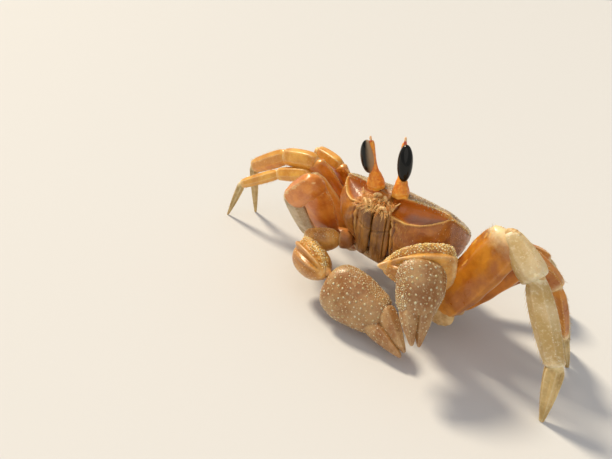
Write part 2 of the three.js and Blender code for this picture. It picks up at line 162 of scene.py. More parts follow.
def limb(name, rings, length, height, width, relief=None, sides=16, levels=2, droop=0.0):
    """A closed tube along +X. A ring is (share of the length, share of the height, share of the width)."""
    clear_selection()
    bpy.ops.mesh.primitive_circle_add(vertices=sides, radius=1, fill_type="TRIFAN", rotation=(0, math.pi / 2, 0))
    piece = bpy.context.object
    piece.name = piece.data.name = name
    bpy.ops.object.transform_apply(rotation=True)
    bpy.ops.object.mode_set(mode="EDIT")
    bpy.ops.mesh.select_all(action="SELECT")
    share, tall, wide = rings[0]
    bpy.ops.transform.resize(value=(1, wide * width / 2, tall * height / 2), center_override=(0, 0, 0))
    bpy.ops.transform.translate(value=(share * length, 0, 0))
    for next_share, next_tall, next_wide in rings[1:]:
        step = (next_share - share) * length
        bpy.ops.mesh.extrude_region_move(TRANSFORM_OT_translate={"value": (step, 0, 0)})
        bpy.ops.transform.resize(
            value=(1, next_wide / wide, next_tall / tall), center_override=(next_share * length, 0, 0)
        )
        share, tall, wide = next_share, next_tall, next_wide
    bpy.ops.mesh.select_all(action="SELECT")
    bpy.ops.mesh.normals_make_consistent(inside=False)
    bpy.ops.object.mode_set(mode="OBJECT")
    smooth_form(piece, levels)
    places = points_of(piece)
    along = np.clip(places[:, 0] / length, 0, 1)
    turn = np.degrees(np.arctan2(places[:, 2] / height, places[:, 1] / width))
    if relief:
        places += normals_of(piece) * relief(along, turn, places)[:, None]
    places[:, 2] -= droop * along**2
    move_points(piece, places)
    note(piece, "share", along)
    note(piece, "back_side", np.sin(np.radians(turn)))
    note(piece, "grain", places + chance.uniform(-PATTERN_SHIFT, PATTERN_SHIFT, 3))
    return piece


def limb_between(name, rings, start, end, up, height, width, relief=None, **options):
    """A limb piece from one point to the next, and the place it belongs in. It isn't moved there yet."""
    start, end = Vector(start), Vector(end)
    place, length = basis(start, end, Vector(up))
    piece = limb(name, rings, length, height, width, relief, **options)
    return piece, Matrix.Translation(start) @ place

# %% [markdown]
# ## Finishes
# A living crab's shell is thin, waxy and slightly see-through. Light enters it, so it glows amber, while its
# surface is covered in tiny grains, and every raised edge is painted paler as a highlight. Four effects turn up in
# nearly every finish: blotches, cream joints that are partly a painted highlight, painted highlights on raised
# edges with painted shade in the folds, and a grainy surface. Each is built once as a node group and placed
# in a material with its own values. The Principled shader stays in each material, because its waxy depth and
# gloss are the same all over a piece and are set on its own sockets.

# %% Tools for node trees
def tone(code):
    """A hex colour as the linear numbers that shaders use."""
    parts = [int(code[i : i + 2], 16) / 255 for i in (0, 2, 4)]
    return [((p + 0.055) / 1.055) ** 2.4 if p > 0.04045 else p / 12.92 for p in parts] + [1.0]


def is_socket(value):
    return isinstance(value, bpy.types.NodeSocket)


def add(tree, kind, sockets, **settings):
    """Adds a node. A socket's value is a number, a colour, or another node's output to link from."""
    node = tree.nodes.new(kind)
    for key, value in settings.items():
        setattr(node, key, value)
    for key, value in sockets.items():
        if is_socket(value):
            tree.links.new(value, node.inputs[key])
        else:
            node.inputs[key].default_value = value
    return node


def calculate(operation, first, second):
    """A maths node, in the tree that its values come from."""
    tree = (first if is_socket(first) else second).id_data
    return add(tree, "ShaderNodeMath", {0: first, 1: second}, operation=operation).outputs[0]


plus, minus, times, larger = (partial(calculate, word) for word in ("ADD", "SUBTRACT", "MULTIPLY", "MAXIMUM"))


def mix(share, first, second):
    return add(share.id_data, "ShaderNodeMix", {0: share, 6: first, 7: second}, data_type="RGBA").outputs[2]


def between(value, low, high, to_low=0.0, to_high=1.0):
    """Turns low to high into 0 to 1, softly, and holds it there beyond them."""
    sockets = {"Value": value, "From Min": low, "From Max": high, "To Min": to_low, "To Max": to_high}
    return add(value.id_data, "ShaderNodeMapRange", sockets, interpolation_type="SMOOTHSTEP").outputs[0]


def noted(tree, name, output="Fac"):
    """What note() wrote on the points of a piece."""
    return add(tree, "ShaderNodeAttribute", {}, attribute_name=name).outputs[output]


def noise(place, scale, detail=3.0, rough=0.55):
    sockets = {"Vector": place, "Scale": scale, "Detail": detail, "Roughness": rough}
    return add(place.id_data, "ShaderNodeTexNoise", sockets).outputs["Fac"]


def cells(place, scale, feature="F1"):
    """How far each point is from the middle of its cell."""
    sockets = {"Vector": place, "Scale": scale}
    return add(place.id_data, "ShaderNodeTexVoronoi", sockets, feature=feature).outputs["Distance"]


def stretched(place, shares):
    return add(place.id_data, "ShaderNodeMapping", {"Vector": place, "Scale": shares}).outputs[0]


# %% Tools for effects: node groups that several materials share
CREAM = tone("f0dcae")


def effect(name, inputs, outputs):
    """An empty node group. An input starts as the number or colour given. Only the output Color is a colour."""
    group = bpy.data.node_groups.new(name, "ShaderNodeTree")
    for label, start in inputs.items():
        kind = "NodeSocketFloat" if isinstance(start, float) else "NodeSocketColor"
        group.interface.new_socket(label, in_out="INPUT", socket_type=kind).default_value = start
    for label in outputs:
        kind = "NodeSocketColor" if label == "Color" else "NodeSocketFloat"
        group.interface.new_socket(label, in_out="OUTPUT", socket_type=kind)
    return group, group.nodes.new("NodeGroupInput").outputs


def end_effect(group, **results):
    end = group.nodes.new("NodeGroupOutput")
    for label, socket in results.items():
        group.links.new(socket, end.inputs[label])


def place_effect(tree, group, sockets):
    return add(tree, "ShaderNodeGroup", sockets, node_tree=group).outputs


# %% Blotches: one shell colour that drifts to a deeper and a paler one
FLECKS_PER_MM = 1.4
blotches, entry = effect(
    "blotches", {"Base": CREAM, "Deep": CREAM, "Pale": CREAM, "Spots per mm": 0.3, "Mottle": 0.3}, ("Color", "Drift")
)
grain_place = noted(blotches, "grain", "Vector")
clouds = noise(grain_place, entry["Spots per mm"], 4.0)
flecks = between(noise(grain_place, FLECKS_PER_MM, 4.0, 0.6), 0.5, 0.72)
coloured = mix(between(clouds, 0.36, 0.66), entry["Deep"], entry["Base"])
coloured = mix(times(flecks, entry["Mottle"]), coloured, entry["Pale"])
end_effect(blotches, Color=coloured, Drift=clouds)

# %% Cream at both ends of a limb piece, with a wandering edge: partly the shell's own, partly a painted highlight
WANDER_PER_MM, WANDER, JOINT_STRENGTH = 0.9, 0.16, 0.85
joint_cream_and_highlight, entry = effect(
    "joint cream and highlight", {"Color": CREAM, "Joint": CREAM, "Near": 0.1, "Far": 0.85, "Back only": 0.5}, ("Color",)
)
wandering = noise(noted(joint_cream_and_highlight, "grain", "Vector"), WANDER_PER_MM)
shifted = plus(noted(joint_cream_and_highlight, "share"), times(minus(wandering, 0.5), WANDER))
near_end = minus(1.0, between(minus(shifted, entry["Near"]), -0.09, 0.01))
far_end = between(minus(shifted, entry["Far"]), -0.04, 0.14)
# The upper side gets more cream: there it is a painted highlight where the light falls.
upper = times(between(noted(joint_cream_and_highlight, "back_side"), -0.7, 0.8), entry["Back only"])
upper = plus(upper, minus(1.0, entry["Back only"]))
joint_share = times(times(larger(near_end, far_end), upper), JOINT_STRENGTH)
end_effect(joint_cream_and_highlight, Color=mix(joint_share, entry["Color"], entry["Joint"]))

# %% Painted edge highlights and crease shade: paler on raised edges, darker in the folds, as light would fall
edge_highlight_crease_shade, entry = effect(
    "edge highlight and crease shade", {"Color": CREAM, "Edge highlight": CREAM, "Crease shade": CREAM, "Strength": 0.7}, ("Color",)
)
sharpness = add(edge_highlight_crease_shade, "ShaderNodeNewGeometry", {}).outputs["Pointiness"]
raised = between(sharpness, 0.505, 0.56)
sunk = minus(1.0, between(sharpness, 0.44, 0.495))
coloured = mix(times(raised, entry["Strength"]), entry["Color"], entry["Edge highlight"])
end_effect(edge_highlight_crease_shade, Color=mix(times(sunk, entry["Strength"]), coloured, entry["Crease shade"]))

# %% Grainy surface: tiny domes with finer roughness between them, and lines combed along the piece
FINE_PER_MM, COMBED_PER_MM = 7.0, 2.4
grainy, entry = effect(
    "grainy surface", {"Grains per mm": 2.0, "Grain": 0.6, "Fine": 0.4, "Lines": 0.0}, ("Height", "Tops")
)
grain_place = noted(grainy, "grain", "Vector")
tops = minus(1.0, between(cells(grain_place, entry["Grains per mm"], "SMOOTH_F1"), 0.0, 0.55))
fine = noise(grain_place, FINE_PER_MM, 5.0, 0.65)
combed = noise(stretched(grain_place, (0.12, 1.6, 1.6)), COMBED_PER_MM)
height = plus(times(tops, entry["Grain"]), times(fine, entry["Fine"]))
end_effect(grainy, Height=plus(height, times(combed, entry["Lines"])), Tops=tops)

# %% Speckles: small pale dots, as on the claws
speckles, entry = effect("speckles", {"Color": CREAM, "Dot": CREAM, "Dots per mm": 0.9, "Size": 0.2}, ("Color",))
from_middle = cells(noted(speckles, "grain", "Vector"), entry["Dots per mm"])
dot = minus(1.0, between(calculate("DIVIDE", from_middle, entry["Size"]), 0.55, 1.0))
end_effect(speckles, Color=mix(times(dot, 0.75), entry["Color"], entry["Dot"]))
print("effects:", [group.name for group in (blotches, joint_cream_and_highlight, edge_highlight_crease_shade, grainy, speckles)])


# %% The shader that every shell finish ends in
def waxy(name, depth=0.16, coat=0.2, coat_rough=0.25):
    """A Principled shader with a little depth under a soft gloss. Returns the tree and the shader."""
    material = bpy.data.materials.new(name)
    material.use_nodes = True
    tree = material.node_tree
    shader = tree.nodes["Principled BSDF"]
    shader.inputs["Subsurface Weight"].default_value = depth
    shader.inputs["Subsurface Radius"].default_value = (1.0, 0.5, 0.22)
    shader.inputs["Subsurface Scale"].default_value = 0.0015
    shader.inputs["Coat Weight"].default_value = coat
    shader.inputs["Coat Roughness"].default_value = coat_rough
    shader.inputs["IOR"].default_value = 1.5
    return material, tree, shader


def surface(shader, colour, height, rough=(0.35, 0.55), bump=0.5, reach=0.00016, by=None):
    """Joins a colour and a height to the shader. The gloss varies between two values with the height, or by another."""
    tree = shader.id_data
    if not is_socket(rough):
        rough = between(by or height, 0.1, 0.9, *rough)
    tree.links.new(colour, shader.inputs["Base Color"])
    tree.links.new(rough, shader.inputs["Roughness"])
    bumped = add(tree, "ShaderNodeBump", {"Height": height, "Strength": bump, "Distance": reach})
    tree.links.new(bumped.outputs[0], shader.inputs["Normal"])


# %% [markdown]
# ## The limb finishes
# Each stretch of a leg has its own finish: meri are clear amber with cream at the knee, which is partly the
# shell's own colour and partly a painted highlight, the stretches past the knee are cream to olive, and the claws
# are grey-beige with white pearls. One recipe makes them all. What changes is a handful of colours and sizes, so
# those are its inputs.

# %% One recipe for limb shell
def limb_finish(name, tones, spots=0.18, mottle=0.35, near=0.08, far=0.86, back_only=0.4, edge_shading=0.6, grains=2.4,
                grain=0.5, fine=0.35, lines=0.25, rough=(0.3, 0.5), bump=0.5, depth=0.16, coat=0.2, dots=None):
    """The tones are those of the shell, its deep and pale blotches, the joints, partly a painted highlight,
    the painted highlight on raised edges, which also colours the dots, and the painted shade in the folds.
    """
    base, deep, pale, joint, ridge, fold = (tone(code) for code in tones.split())
    material, tree, shader = waxy(name, depth, coat)
    colours = place_effect(tree, blotches, {
        "Base": base, "Deep": deep, "Pale": pale, "Spots per mm": spots, "Mottle": mottle,
    })
    colour = place_effect(tree, joint_cream_and_highlight, {
        "Color": colours["Color"], "Joint": joint, "Near": near, "Far": far, "Back only": back_only,
    })["Color"]
    if dots:
        colour = place_effect(tree, speckles, {
            "Color": colour, "Dot": ridge, "Dots per mm": dots[0], "Size": dots[1],
        })["Color"]
    # Painted highlight on raised edges and painted shade in the folds, by how sharp the surface is
    colour = place_effect(tree, edge_highlight_crease_shade, {"Color": colour, "Edge highlight": ridge, "Crease shade": fold, "Strength": edge_shading})["Color"]
    grit = place_effect(tree, grainy, {"Grains per mm": grains, "Grain": grain, "Fine": fine, "Lines": lines})
    surface(shader, colour, grit["Height"], rough, bump, by=colours["Drift"])
    return material


# %% The palette
NOWHERE = 2.0  # a far joint beyond the end of the piece
CLEAR = dict(bump=0.2, lines=0.1, grain=0.25, depth=0.25, coat=0.25)  # the smooth upper stretches of the legs
ROUGH = dict(lines=0.35, mottle=0.4, rough=(0.34, 0.52), edge_shading=0.5, near=0.1, far=0.9)  # the cream lower stretches
# Each list of tones: the shell, its deep and pale blotches, the joints (partly a painted highlight), the painted
# highlight on raised edges and the painted shade in the folds.
PALETTE = {
    "leg_upper": ("amber_leg", "d38a22 ac6214 e8b453 f6e6b8 eebd62 824208", dict(
        CLEAR, near=0.06, back_only=0.8, mottle=0.1, rough=(0.24, 0.38), coat=0.3)),
    "leg_salmon": ("salmon_leg", "e08c30 c46a18 f0b468 f0c088 f4cc88 8c4a0e", dict(
        CLEAR, near=-0.1, far=NOWHERE, back_only=0.7, mottle=0.3, rough=(0.28, 0.42), depth=0.2)),
    "leg_golden": ("golden_leg", "ecb24a d28e2c f7da98 f8e6b8 fae2a4 9c6218", dict(
        CLEAR, near=0.05, far=0.9, back_only=0.6, mottle=0.25, rough=(0.26, 0.42))),
    "leg_deep": ("deep_leg", "d8841a b0600c eaa73c efba5c efb24c 80440a", dict(
        CLEAR, near=0.04, far=0.94, back_only=0.7, mottle=0.2, rough=(0.24, 0.4), coat=0.3)),
    "leg_lower": ("cream_leg", "d8c298 bb9c60 f2e9cc f7edd0 f6eed4 80622a", dict(
        ROUGH, spots=0.13, mottle=0.5, edge_shading=0.3)),
    "leg_grey": ("grey_leg", "c9b698 a48c66 e6dcc6 e6c98c f0e8d6 7c5f3a", dict(ROUGH, rough=(0.36, 0.54))),
    "leg_tips": ("tip_leg", "d2b67c a88a4c eaddb4 ecd6a0 efe4c0 725420", dict(
        ROUGH, far=NOWHERE, mottle=0.35, lines=0.5, grain=0.3, rough=(0.34, 0.5))),
    "hip": ("hip_shell", "c8823a 9c5c20 e0b06c e8c890 ecd2a0 703a12", dict(
        near=0.02, far=0.8, mottle=0.2, rough=(0.36, 0.52), coat=0.15, bump=0.3)),
    "claw_arms": ("claw_arm", "e4aa50 b07226 f5d08a f8e2b0 f9e6b8 80480e", dict(
        near=0.04, far=0.9, mottle=0.25, grains=2.0, grain=0.6, rough=(0.3, 0.48), coat=0.25, bump=0.35, edge_shading=0.35)),
    "claws": ("claw_shell", "b48c5c 93602e cdb48a c89c5c dccaa4 6e4016", dict(
        near=0.05, far=NOWHERE, spots=0.17, mottle=0.45, grains=2.6, grain=0.6, rough=(0.3, 0.48), coat=0.25,
        bump=0.4, dots=(1.3, 0.2))),
    "mouthparts": ("mouth_shell", "a06c28 744818 c99a4c b08034 d4a85c 4c2c0c", dict(
        near=0.05, far=0.95, spots=0.25, mottle=0.25, lines=0.6, grain=0.3, rough=(0.32, 0.5), coat=0.25, bump=0.4,
        edge_shading=0.45)),
    "palps": ("palp_shell", "e0a24a b87226 f2cf88 eebc6a f8e0a6 8a4e14", dict(
        near=0.1, far=0.9, spots=0.8, rough=(0.28, 0.45), coat=0.3, bump=0.25)),
    "underside": ("belly_shell", "dfc290 c49a60 efe0bc e8cf9c f5ebcc 946430", dict(
        near=0.02, far=NOWHERE, spots=0.15, mottle=0.2, rough=(0.36, 0.54), bump=0.3)),
    "eyestalks": ("stalk_shell", "f0951a d8720c fdc858 fcc04c fdd070 b05408", dict(
        near=0.12, far=NOWHERE, spots=0.7, mottle=0.45, grains=3.4, grain=0.6, rough=(0.34, 0.5), coat=0.1,
        depth=0.08)),
    "eye_spikes": ("eye_spike", "e25a16 bb3c0a f28e36 f6cf9c f6b074 8a2c08", dict(
        near=0.02, far=0.5, back_only=0.0, spots=0.9, mottle=0.2, rough=(0.28, 0.45), coat=0.5)),
    "joint_skin": ("joint_skin", "dcb880 b98e52 eed8ac e8c890 f0dcb4 8c6434", dict(
        spots=0.5, mottle=0.2, rough=(0.45, 0.62), coat=0.1, depth=0.2)),
}
FINISHES = {key: limb_finish(name, tones, **values) for key, (name, tones, values) in PALETTE.items()}
print("limb finishes:", len(FINISHES))

# %% [markdown]
# ## Shell, eyes, grains and bristles
# The body shell changes colour from place to place: rosy grey and grainy on the back, amber on the face and
# flanks, deep orange turning to purple brown in the eye sockets, with a thin cream line round each socket.
# Those places were written on the mesh when it was shaped, so the finish only has to read them. The eyes are
# black and glossy under a clear film, the grains are pearl, and the bristles are pale gold.

# %% Body shell: the face, with fine streaks beside the mouth
material, tree, shader = waxy("body_shell", 0.16, 0.25, 0.3)
face = place_effect(tree, blotches, {
    "Base": tone("bd7822"), "Deep": tone("935212"), "Pale": tone("dfa446"), "Spots per mm": 0.16, "Mottle": 0.2,
})
body_place = noted(tree, "grain", "Vector")
streaks = between(noise(stretched(body_place, (2.6, 1.0, 0.16)), 1.5, 4.0, 0.7), 0.5, 0.68)
streaks = times(times(streaks, noted(tree, "beside_mouth")), 0.7)
colour = mix(streaks, face["Color"], tone("e0ac52"))
colour = mix(times(noted(tree, "low_flank"), 0.6), colour, tone("dca04c"))
colour = mix(noted(tree, "brow"), colour, tone("dd7612"))

# %% Body shell: the back, with a darker network over it
back = place_effect(tree, blotches, {
    "Base": tone("b59a78"), "Deep": tone("8d6c4c"), "Pale": tone("cdb998"), "Spots per mm": 0.22, "Mottle": 0.1,
})
network = between(noise(body_place, 0.55, 5.0, 0.62), 0.5, 0.62)
back_colour = mix(times(network, 0.55), back["Color"], tone("80603f"))
on_back = between(minus(noted(tree, "roof"), times(face["Drift"], 0.25)), 0.25, 0.65)
colour = mix(on_back, colour, back_colour)

# %% Body shell: sockets, rims, painted shade in the grooves, painted edge highlights and crease shade, then the surface
deep_socket = between(plus(noted(tree, "socket_low"), times(back["Drift"], 0.4)), 0.5, 1.1)
socket_colour = mix(deep_socket, tone("cc7624"), tone("aa7c68"))
colour = mix(between(noted(tree, "socket"), 0.1, 0.4), colour, socket_colour)
colour = mix(times(noted(tree, "rim"), 0.8), colour, tone("f0c470"))
# Painted shade: the grooves of the back, the line beside the mouth and the recess behind the mouth plates go dark brown
colour = mix(noted(tree, "groove"), colour, tone("5a2c12"))
# Painted highlights on raised edges and painted shade in the folds
colour = place_effect(tree, edge_highlight_crease_shade, {
    "Color": colour, "Edge highlight": tone("e8bb6c"), "Crease shade": tone("5c300e"), "Strength": 0.4,
})["Color"]
grit = place_effect(tree, grainy, {"Grains per mm": 1.9, "Grain": 0.75, "Fine": 0.45, "Lines": 0.0})
rough = between(noted(tree, "roof"), 0.0, 1.0, 0.34, 0.66)
rough = minus(rough, times(noted(tree, "socket"), 0.14))
surface(shader, colour, grit["Height"], plus(rough, times(grit["Tops"], 0.06)), 0.45)
FINISHES["shell"] = material


# %% Grains, beads, teeth and bristles
def small_finish(name, first, second, rough=0.3, depth=0.3, scale=900.0, coat=0.3):
    """For pieces far smaller than a blotch: a colour that changes from one small piece to the next."""
    material, tree, shader = waxy(name, depth, coat)
    place = add(tree, "ShaderNodeTexCoord", {}).outputs["Object"]
    share = between(noise(place, scale, 2.0), 0.35, 0.65)
    grit = noise(place, scale * 6, 2.0)
    surface(shader, mix(share, tone(first), tone(second)), grit, (rough, rough + 0.15), 0.3, 0.00004)
    return material


for key, name, first, second, values in (
    ("back_grains", "back_grains", "e9dfcd", "b9a083", dict(rough=0.4)),
    ("pearls", "claw_pearls", "ecdcb8", "cfae78", dict(depth=0.35, coat=0.35)),
    ("leg_beads", "leg_beads", "f3ead2", "dcc48e", {}),
    ("gold_grains", "gold_grains", "f8e6ba", "e6b45c", dict(depth=0.35, coat=0.4)),
    ("bristles", "bristles", "e6c88c", "b28a4c", dict(rough=0.4, depth=0.2, scale=500.0, coat=0.1)),
    ("mouth_bristles", "mouth_bristles", "fbd28a", "ee9a44", dict(rough=0.4, depth=0.2, scale=500.0, coat=0.1)),
    ("claw_teeth", "claw_teeth", "f3e6c8", "d2b27c", {}),
):
    FINISHES[key] = small_finish(name, first, second, **values)

# %% Cornea: black glass with a fine honeycomb, fading to grey beige beside the stalk
material, tree, shader = waxy("cornea", 0.0, 0.25, 0.05)
shader.inputs["Specular IOR Level"].default_value = 0.2
place = noted(tree, "grain", "Vector")
facets = cells(place, 9.0)
bands = between(noise(stretched(place, (0.15, 1.0, 1.0)), 0.8, 2.0), 0.35, 0.7)
dark = mix(bands, tone("030404"), tone("0d0f0e"))
past_strip = between(noted(tree, "back_side"), -0.8, 0.15)
surface(shader, mix(past_strip, tone("a48c70"), dark), facets, (0.12, 0.22), 0.12, 0.00003)
FINISHES["corneas"] = material
print("finishes:", sorted(FINISHES))


# %% The last step for every piece
def finish_piece(piece, place, finish, nodes=()):
    """Puts a piece in place, gives it its finish and ties it to the frame."""
    put_in_place(piece, place)
    if not piece.data.materials:
        piece.data.materials.append(FINISHES[finish])
    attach(piece, "root")
    if nodes:
        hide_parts(*nodes)
    return piece


def mirror(piece):
    """Turns a piece into its mirror image across its own Y, with its normals still out."""
    piece.data.transform(Matrix.Scale(-1, 4, (0, 1, 0)))
    piece.data.flip_normals()


def join_to(piece, others):
    """Joins small pieces to the one they grow from. A place in the list may be empty."""
    others = [other for other in others if other]
    if others:
        clear_selection()
        for part in (piece, *others):
            part.select_set(True)
        bpy.context.view_layer.objects.active = piece
        bpy.ops.object.join()
    return piece


# %% [markdown]
# ## Grains and bristles, modelled once
# A crab carries thousands of grains, so one low dome of a few dozen faces is modelled and its points are copied
# to every root with numpy, which takes a moment where a thousand duplicate operations would take minutes. The
# same goes for the bristles: one thin, bent, three-sided spike. The copies become one mesh per limb.

# %% One dome, one spike
clear_selection()
bpy.ops.mesh.primitive_uv_sphere_add(segments=6, ring_count=4, radius=1)
dome = bpy.context.object
dome.name = "one_dome"
clear_selection()
bpy.ops.mesh.primitive_cone_add(vertices=3, radius1=1, radius2=0.16, depth=1, location=(0, 0, 0.5))
spike = bpy.context.object
spike.name = "one_spike"
bpy.ops.object.transform_apply(location=True)
bpy.ops.object.mode_set(mode="EDIT")
for cut in (0.33, 0.67):
    bpy.ops.mesh.select_all(action="SELECT")
    bpy.ops.mesh.bisect(plane_co=(0, 0, cut), plane_no=(0, 0, 1))
bpy.ops.object.mode_set(mode="OBJECT")
bent = points_of(spike)
bent[:, :2] *= (1 - 0.45 * bent[:, 2] ** 2)[:, None]
move_points(spike, bent)
MODELS = {"dome": dome, "spike": spike}
print("dome faces:", len(dome.data.polygons), "spike faces:", len(spike.data.polygons))


# %% Copying a model to many roots
BAKE_PATCH = 0.003  # the side of each copy's own patch on the bake map


def many(name, model, roots, ways, sizes, finish, bend=0.0, lean=None, patches=None):
    """One mesh of copies. A size is (across, height) in mm; a way is each copy's outward direction."""
    shape = points_of(MODELS[model])
    faces = [list(face.vertices) for face in MODELS[model].data.polygons]
    count, per = len(roots), len(shape)
    ways = ways / np.linalg.norm(ways, axis=1)[:, None]
    helper = np.where(np.abs(ways[:, 2:3]) < 0.9, [[0.0, 0.0, 1.0]], [[1.0, 0.0, 0.0]])
    side = np.cross(helper, ways)
    side /= np.linalg.norm(side, axis=1)[:, None]
    other = np.cross(ways, side)
    across, tall = sizes[:, :1, None], sizes[:, 1:2, None]
    points = (
        roots[:, None, :]
        + side[:, None, :] * shape[None, :, :1] * across
        + other[:, None, :] * shape[None, :, 1:2] * across
        + ways[:, None, :] * shape[None, :, 2:] * tall
    )
    if lean is not None:
        points += lean[:, None, :] * (shape[None, :, 2:] ** 2) * tall * bend
    mesh = bpy.data.meshes.new(name)
    corners = [[v + i * per for v in face] for i in range(count) for face in faces]
    mesh.from_pydata(points.reshape(-1, 3).tolist(), [], corners)
    piece = bpy.data.objects.new(name, mesh)
    bpy.context.scene.collection.objects.link(piece)
    mesh.polygons.foreach_set("use_smooth", [True] * len(mesh.polygons))
    mesh.materials.append(FINISHES[finish])
    note(piece, "grain", np.repeat(roots, per, axis=0))
    if patches is not None:
        layer = mesh.uv_layers.new(name="OFBake")
        loop_points = np.empty(len(mesh.loops), dtype=np.int32)
        mesh.loops.foreach_get("vertex_index", loop_points)
        inside = np.stack([np.tile(shape[:, 0] * 0.4 + 0.5, count), np.tile(shape[:, 2], count)], 1)
        places = np.repeat(patches, per, axis=0) + inside * BAKE_PATCH
        layer.data.foreach_set("uv", places[loop_points].astype(np.float32).ravel())
    return piece


def spaced(places, weights, count, gap):
    """Picks up to count points, likelier where the weight is high, no two nearer than gap."""
    order = chance.permutation(len(places))
    keep = order[chance.random(len(order)) < weights[order]]
    cells, chosen = {}, []
    for index in keep:
        cell = tuple((places[index] // gap).astype(int))
        near = [
            other for x in (-1, 0, 1) for y in (-1, 0, 1) for z in (-1, 0, 1)
            for other in cells.get((cell[0] + x, cell[1] + y, cell[2] + z), ())
        ]
        if all(np.sum((places[index] - places[other]) ** 2) > gap * gap for other in near):
            cells.setdefault(cell, []).append(index)
            chosen.append(index)
            if len(chosen) == count:
                break
    return np.array(chosen, dtype=int)


def note_of(piece, name):
    values = np.empty(len(piece.data.vertices), dtype=np.float32)
    piece.data.attributes[name].data.foreach_get("value", values)
    return values.astype(float)


def turn_of(piece):
    """The angle round a limb piece at each point: 90 degrees is its back."""
    turn = np.degrees(np.arcsin(np.clip(note_of(piece, "back_side"), -1, 1)))
    return np.where(normals_of(piece)[:, 1] < 0, 180 - turn, turn)


def grains_on(piece, name, weights, count, gap, size, finish, flat=0.8):
    """Domes standing on a piece that isn't in place yet, so everything is still in millimetres."""
    places, ways = points_of(piece), normals_of(piece)
    roots = spaced(places, weights, count, gap)
    if not len(roots):
        return None
    wide = size * chance.uniform(0.65, 1.15, len(roots))
    sizes = np.stack([wide, wide * flat], 1)
    return many(name, "dome", places[roots], ways[roots], sizes, finish)

# %% [markdown]
# ## The body shell
# A ghost crab's body is a deep, rounded box. Its roof is almost flat, its sides drop steeply and its face is
# nearly all eye socket. A cube cut into small squares is the right start, because its edges become the edges of
# the roof. Its points are then moved by the same few rules that shaped the frame, and the sockets, mouth frame,
# grooves and margins are pressed in afterwards as soft dents and ridges, as if pushed with a modelling tool.

# %% Sizes of the shell, in mm from the middle of the back
HALF_WIDTH, TAPER = 19.4, 6.9
FRONT, CHIN, CHIN_DROP, SHELL_END = -17.5, -19.0, 8.0, 17.5
CROWN, DEPTH, DEPTH_BACK, TOOTH = 1.2, 21.0, 15.0, 1.25
SOCKET_X = [2.2, 3.8, 6.4, 10.3, 13.7, 16.2, 18.6, 19.7]
SOCKET_TOP = [-2.6, -2.2, -1.75, -1.05, -0.85, -0.85, -0.9, -1.0]
SOCKET_LOW = [-6.6, -7.2, -7.5, -7.75, -6.7, -5.1, -2.9, -1.2]
SOCKET_DEEP = [0.5, 2.6, 3.4, 3.5, 3.1, 2.4, 1.3, 0.25]


def shell_shape(cube):
    """Moves the points of a 2 mm cube onto the smooth outside of the shell."""
    x, y, z = cube.T
    front_top = np.clip(-y, 0, 1) * np.clip((z + 1) / 2, 0, 1)
    power = 4.5 + 8 * front_top
    shrink = 1 / (np.abs(x) ** power + np.abs(y) ** power + np.abs(z) ** power) ** (1 / power)
    side, deep, high = x * shrink, (y * shrink + 1) / 2, (z * shrink + 1) / 2
    droop_front = 1.6 * np.maximum(0, 1 - deep / 0.16) ** 2 * (1 - side**2)
    droop_back = 4.2 * np.maximum(0, (deep - 0.7) / 0.3) ** 2
    top = CROWN * (1 - side**2) - droop_front - droop_back
    bottom = -(DEPTH + (DEPTH_BACK - DEPTH) * deep) + 4.5 * np.abs(side) ** 3
    up = bottom + (top - bottom) * high
    narrowing = 1 - 0.3 * (np.maximum(0, -5 - up) / 16) ** 2
    across = side * (HALF_WIDTH - TAPER * deep**3) * narrowing
    lip = FRONT + (CHIN - FRONT) * np.clip(-up / CHIN_DROP, 0, 1)
    chin = 10 * (np.maximum(0, -up - CHIN_DROP) / 13) ** 1.7
    front = lip + chin + 4.0 * np.abs(side) ** 2.4
    back = SHELL_END - 3 * side**2 - 3.5 * (up / 18) ** 2
    corner = np.maximum(0, np.abs(side) - 0.72) / 0.28 * front_top**2
    return np.stack([
        across + np.sign(side) * TOOTH * corner,
        front + (back - front) * deep - TOOTH * corner,
        up + 0.4 * TOOTH * corner,
    ], 1)


# %% The cube, cut and shaped
SHELL_CUTS = 86  # across each side of the cube

clear_selection()
bpy.ops.mesh.primitive_cube_add(size=2)
shell = bpy.context.object
shell.name = shell.data.name = "carapace_shell"
bpy.ops.object.mode_set(mode="EDIT")
bpy.ops.mesh.select_all(action="SELECT")
bpy.ops.mesh.subdivide(number_cuts=SHELL_CUTS)
bpy.ops.object.mode_set(mode="OBJECT")
cube = points_of(shell)
cube[:, 1] = np.where(np.abs(cube[:, 1]) < 0.999, cube[:, 1], np.sign(cube[:, 1]))
move_points(shell, shell_shape(cube))
bpy.ops.object.shade_smooth()
print("shell squares:", len(shell.data.polygons))

# %% Dents and ridges: sockets, mouth frame, grooves
places, ways = points_of(shell), normals_of(shell)
x, y, z = places.T
mirror_x = np.abs(x)
facing = soft_step(-cube[:, 1], 0.86, 1.0) * soft_step(cube[:, 2], -1.0, -0.9)
faces_front = ways[:, 1] < -0.2
roof = soft_step(ways[:, 2], 0.25, 0.75) * soft_step(y, -18.5, -16.6)
under = soft_step(-ways[:, 2], 0.5, 0.8)

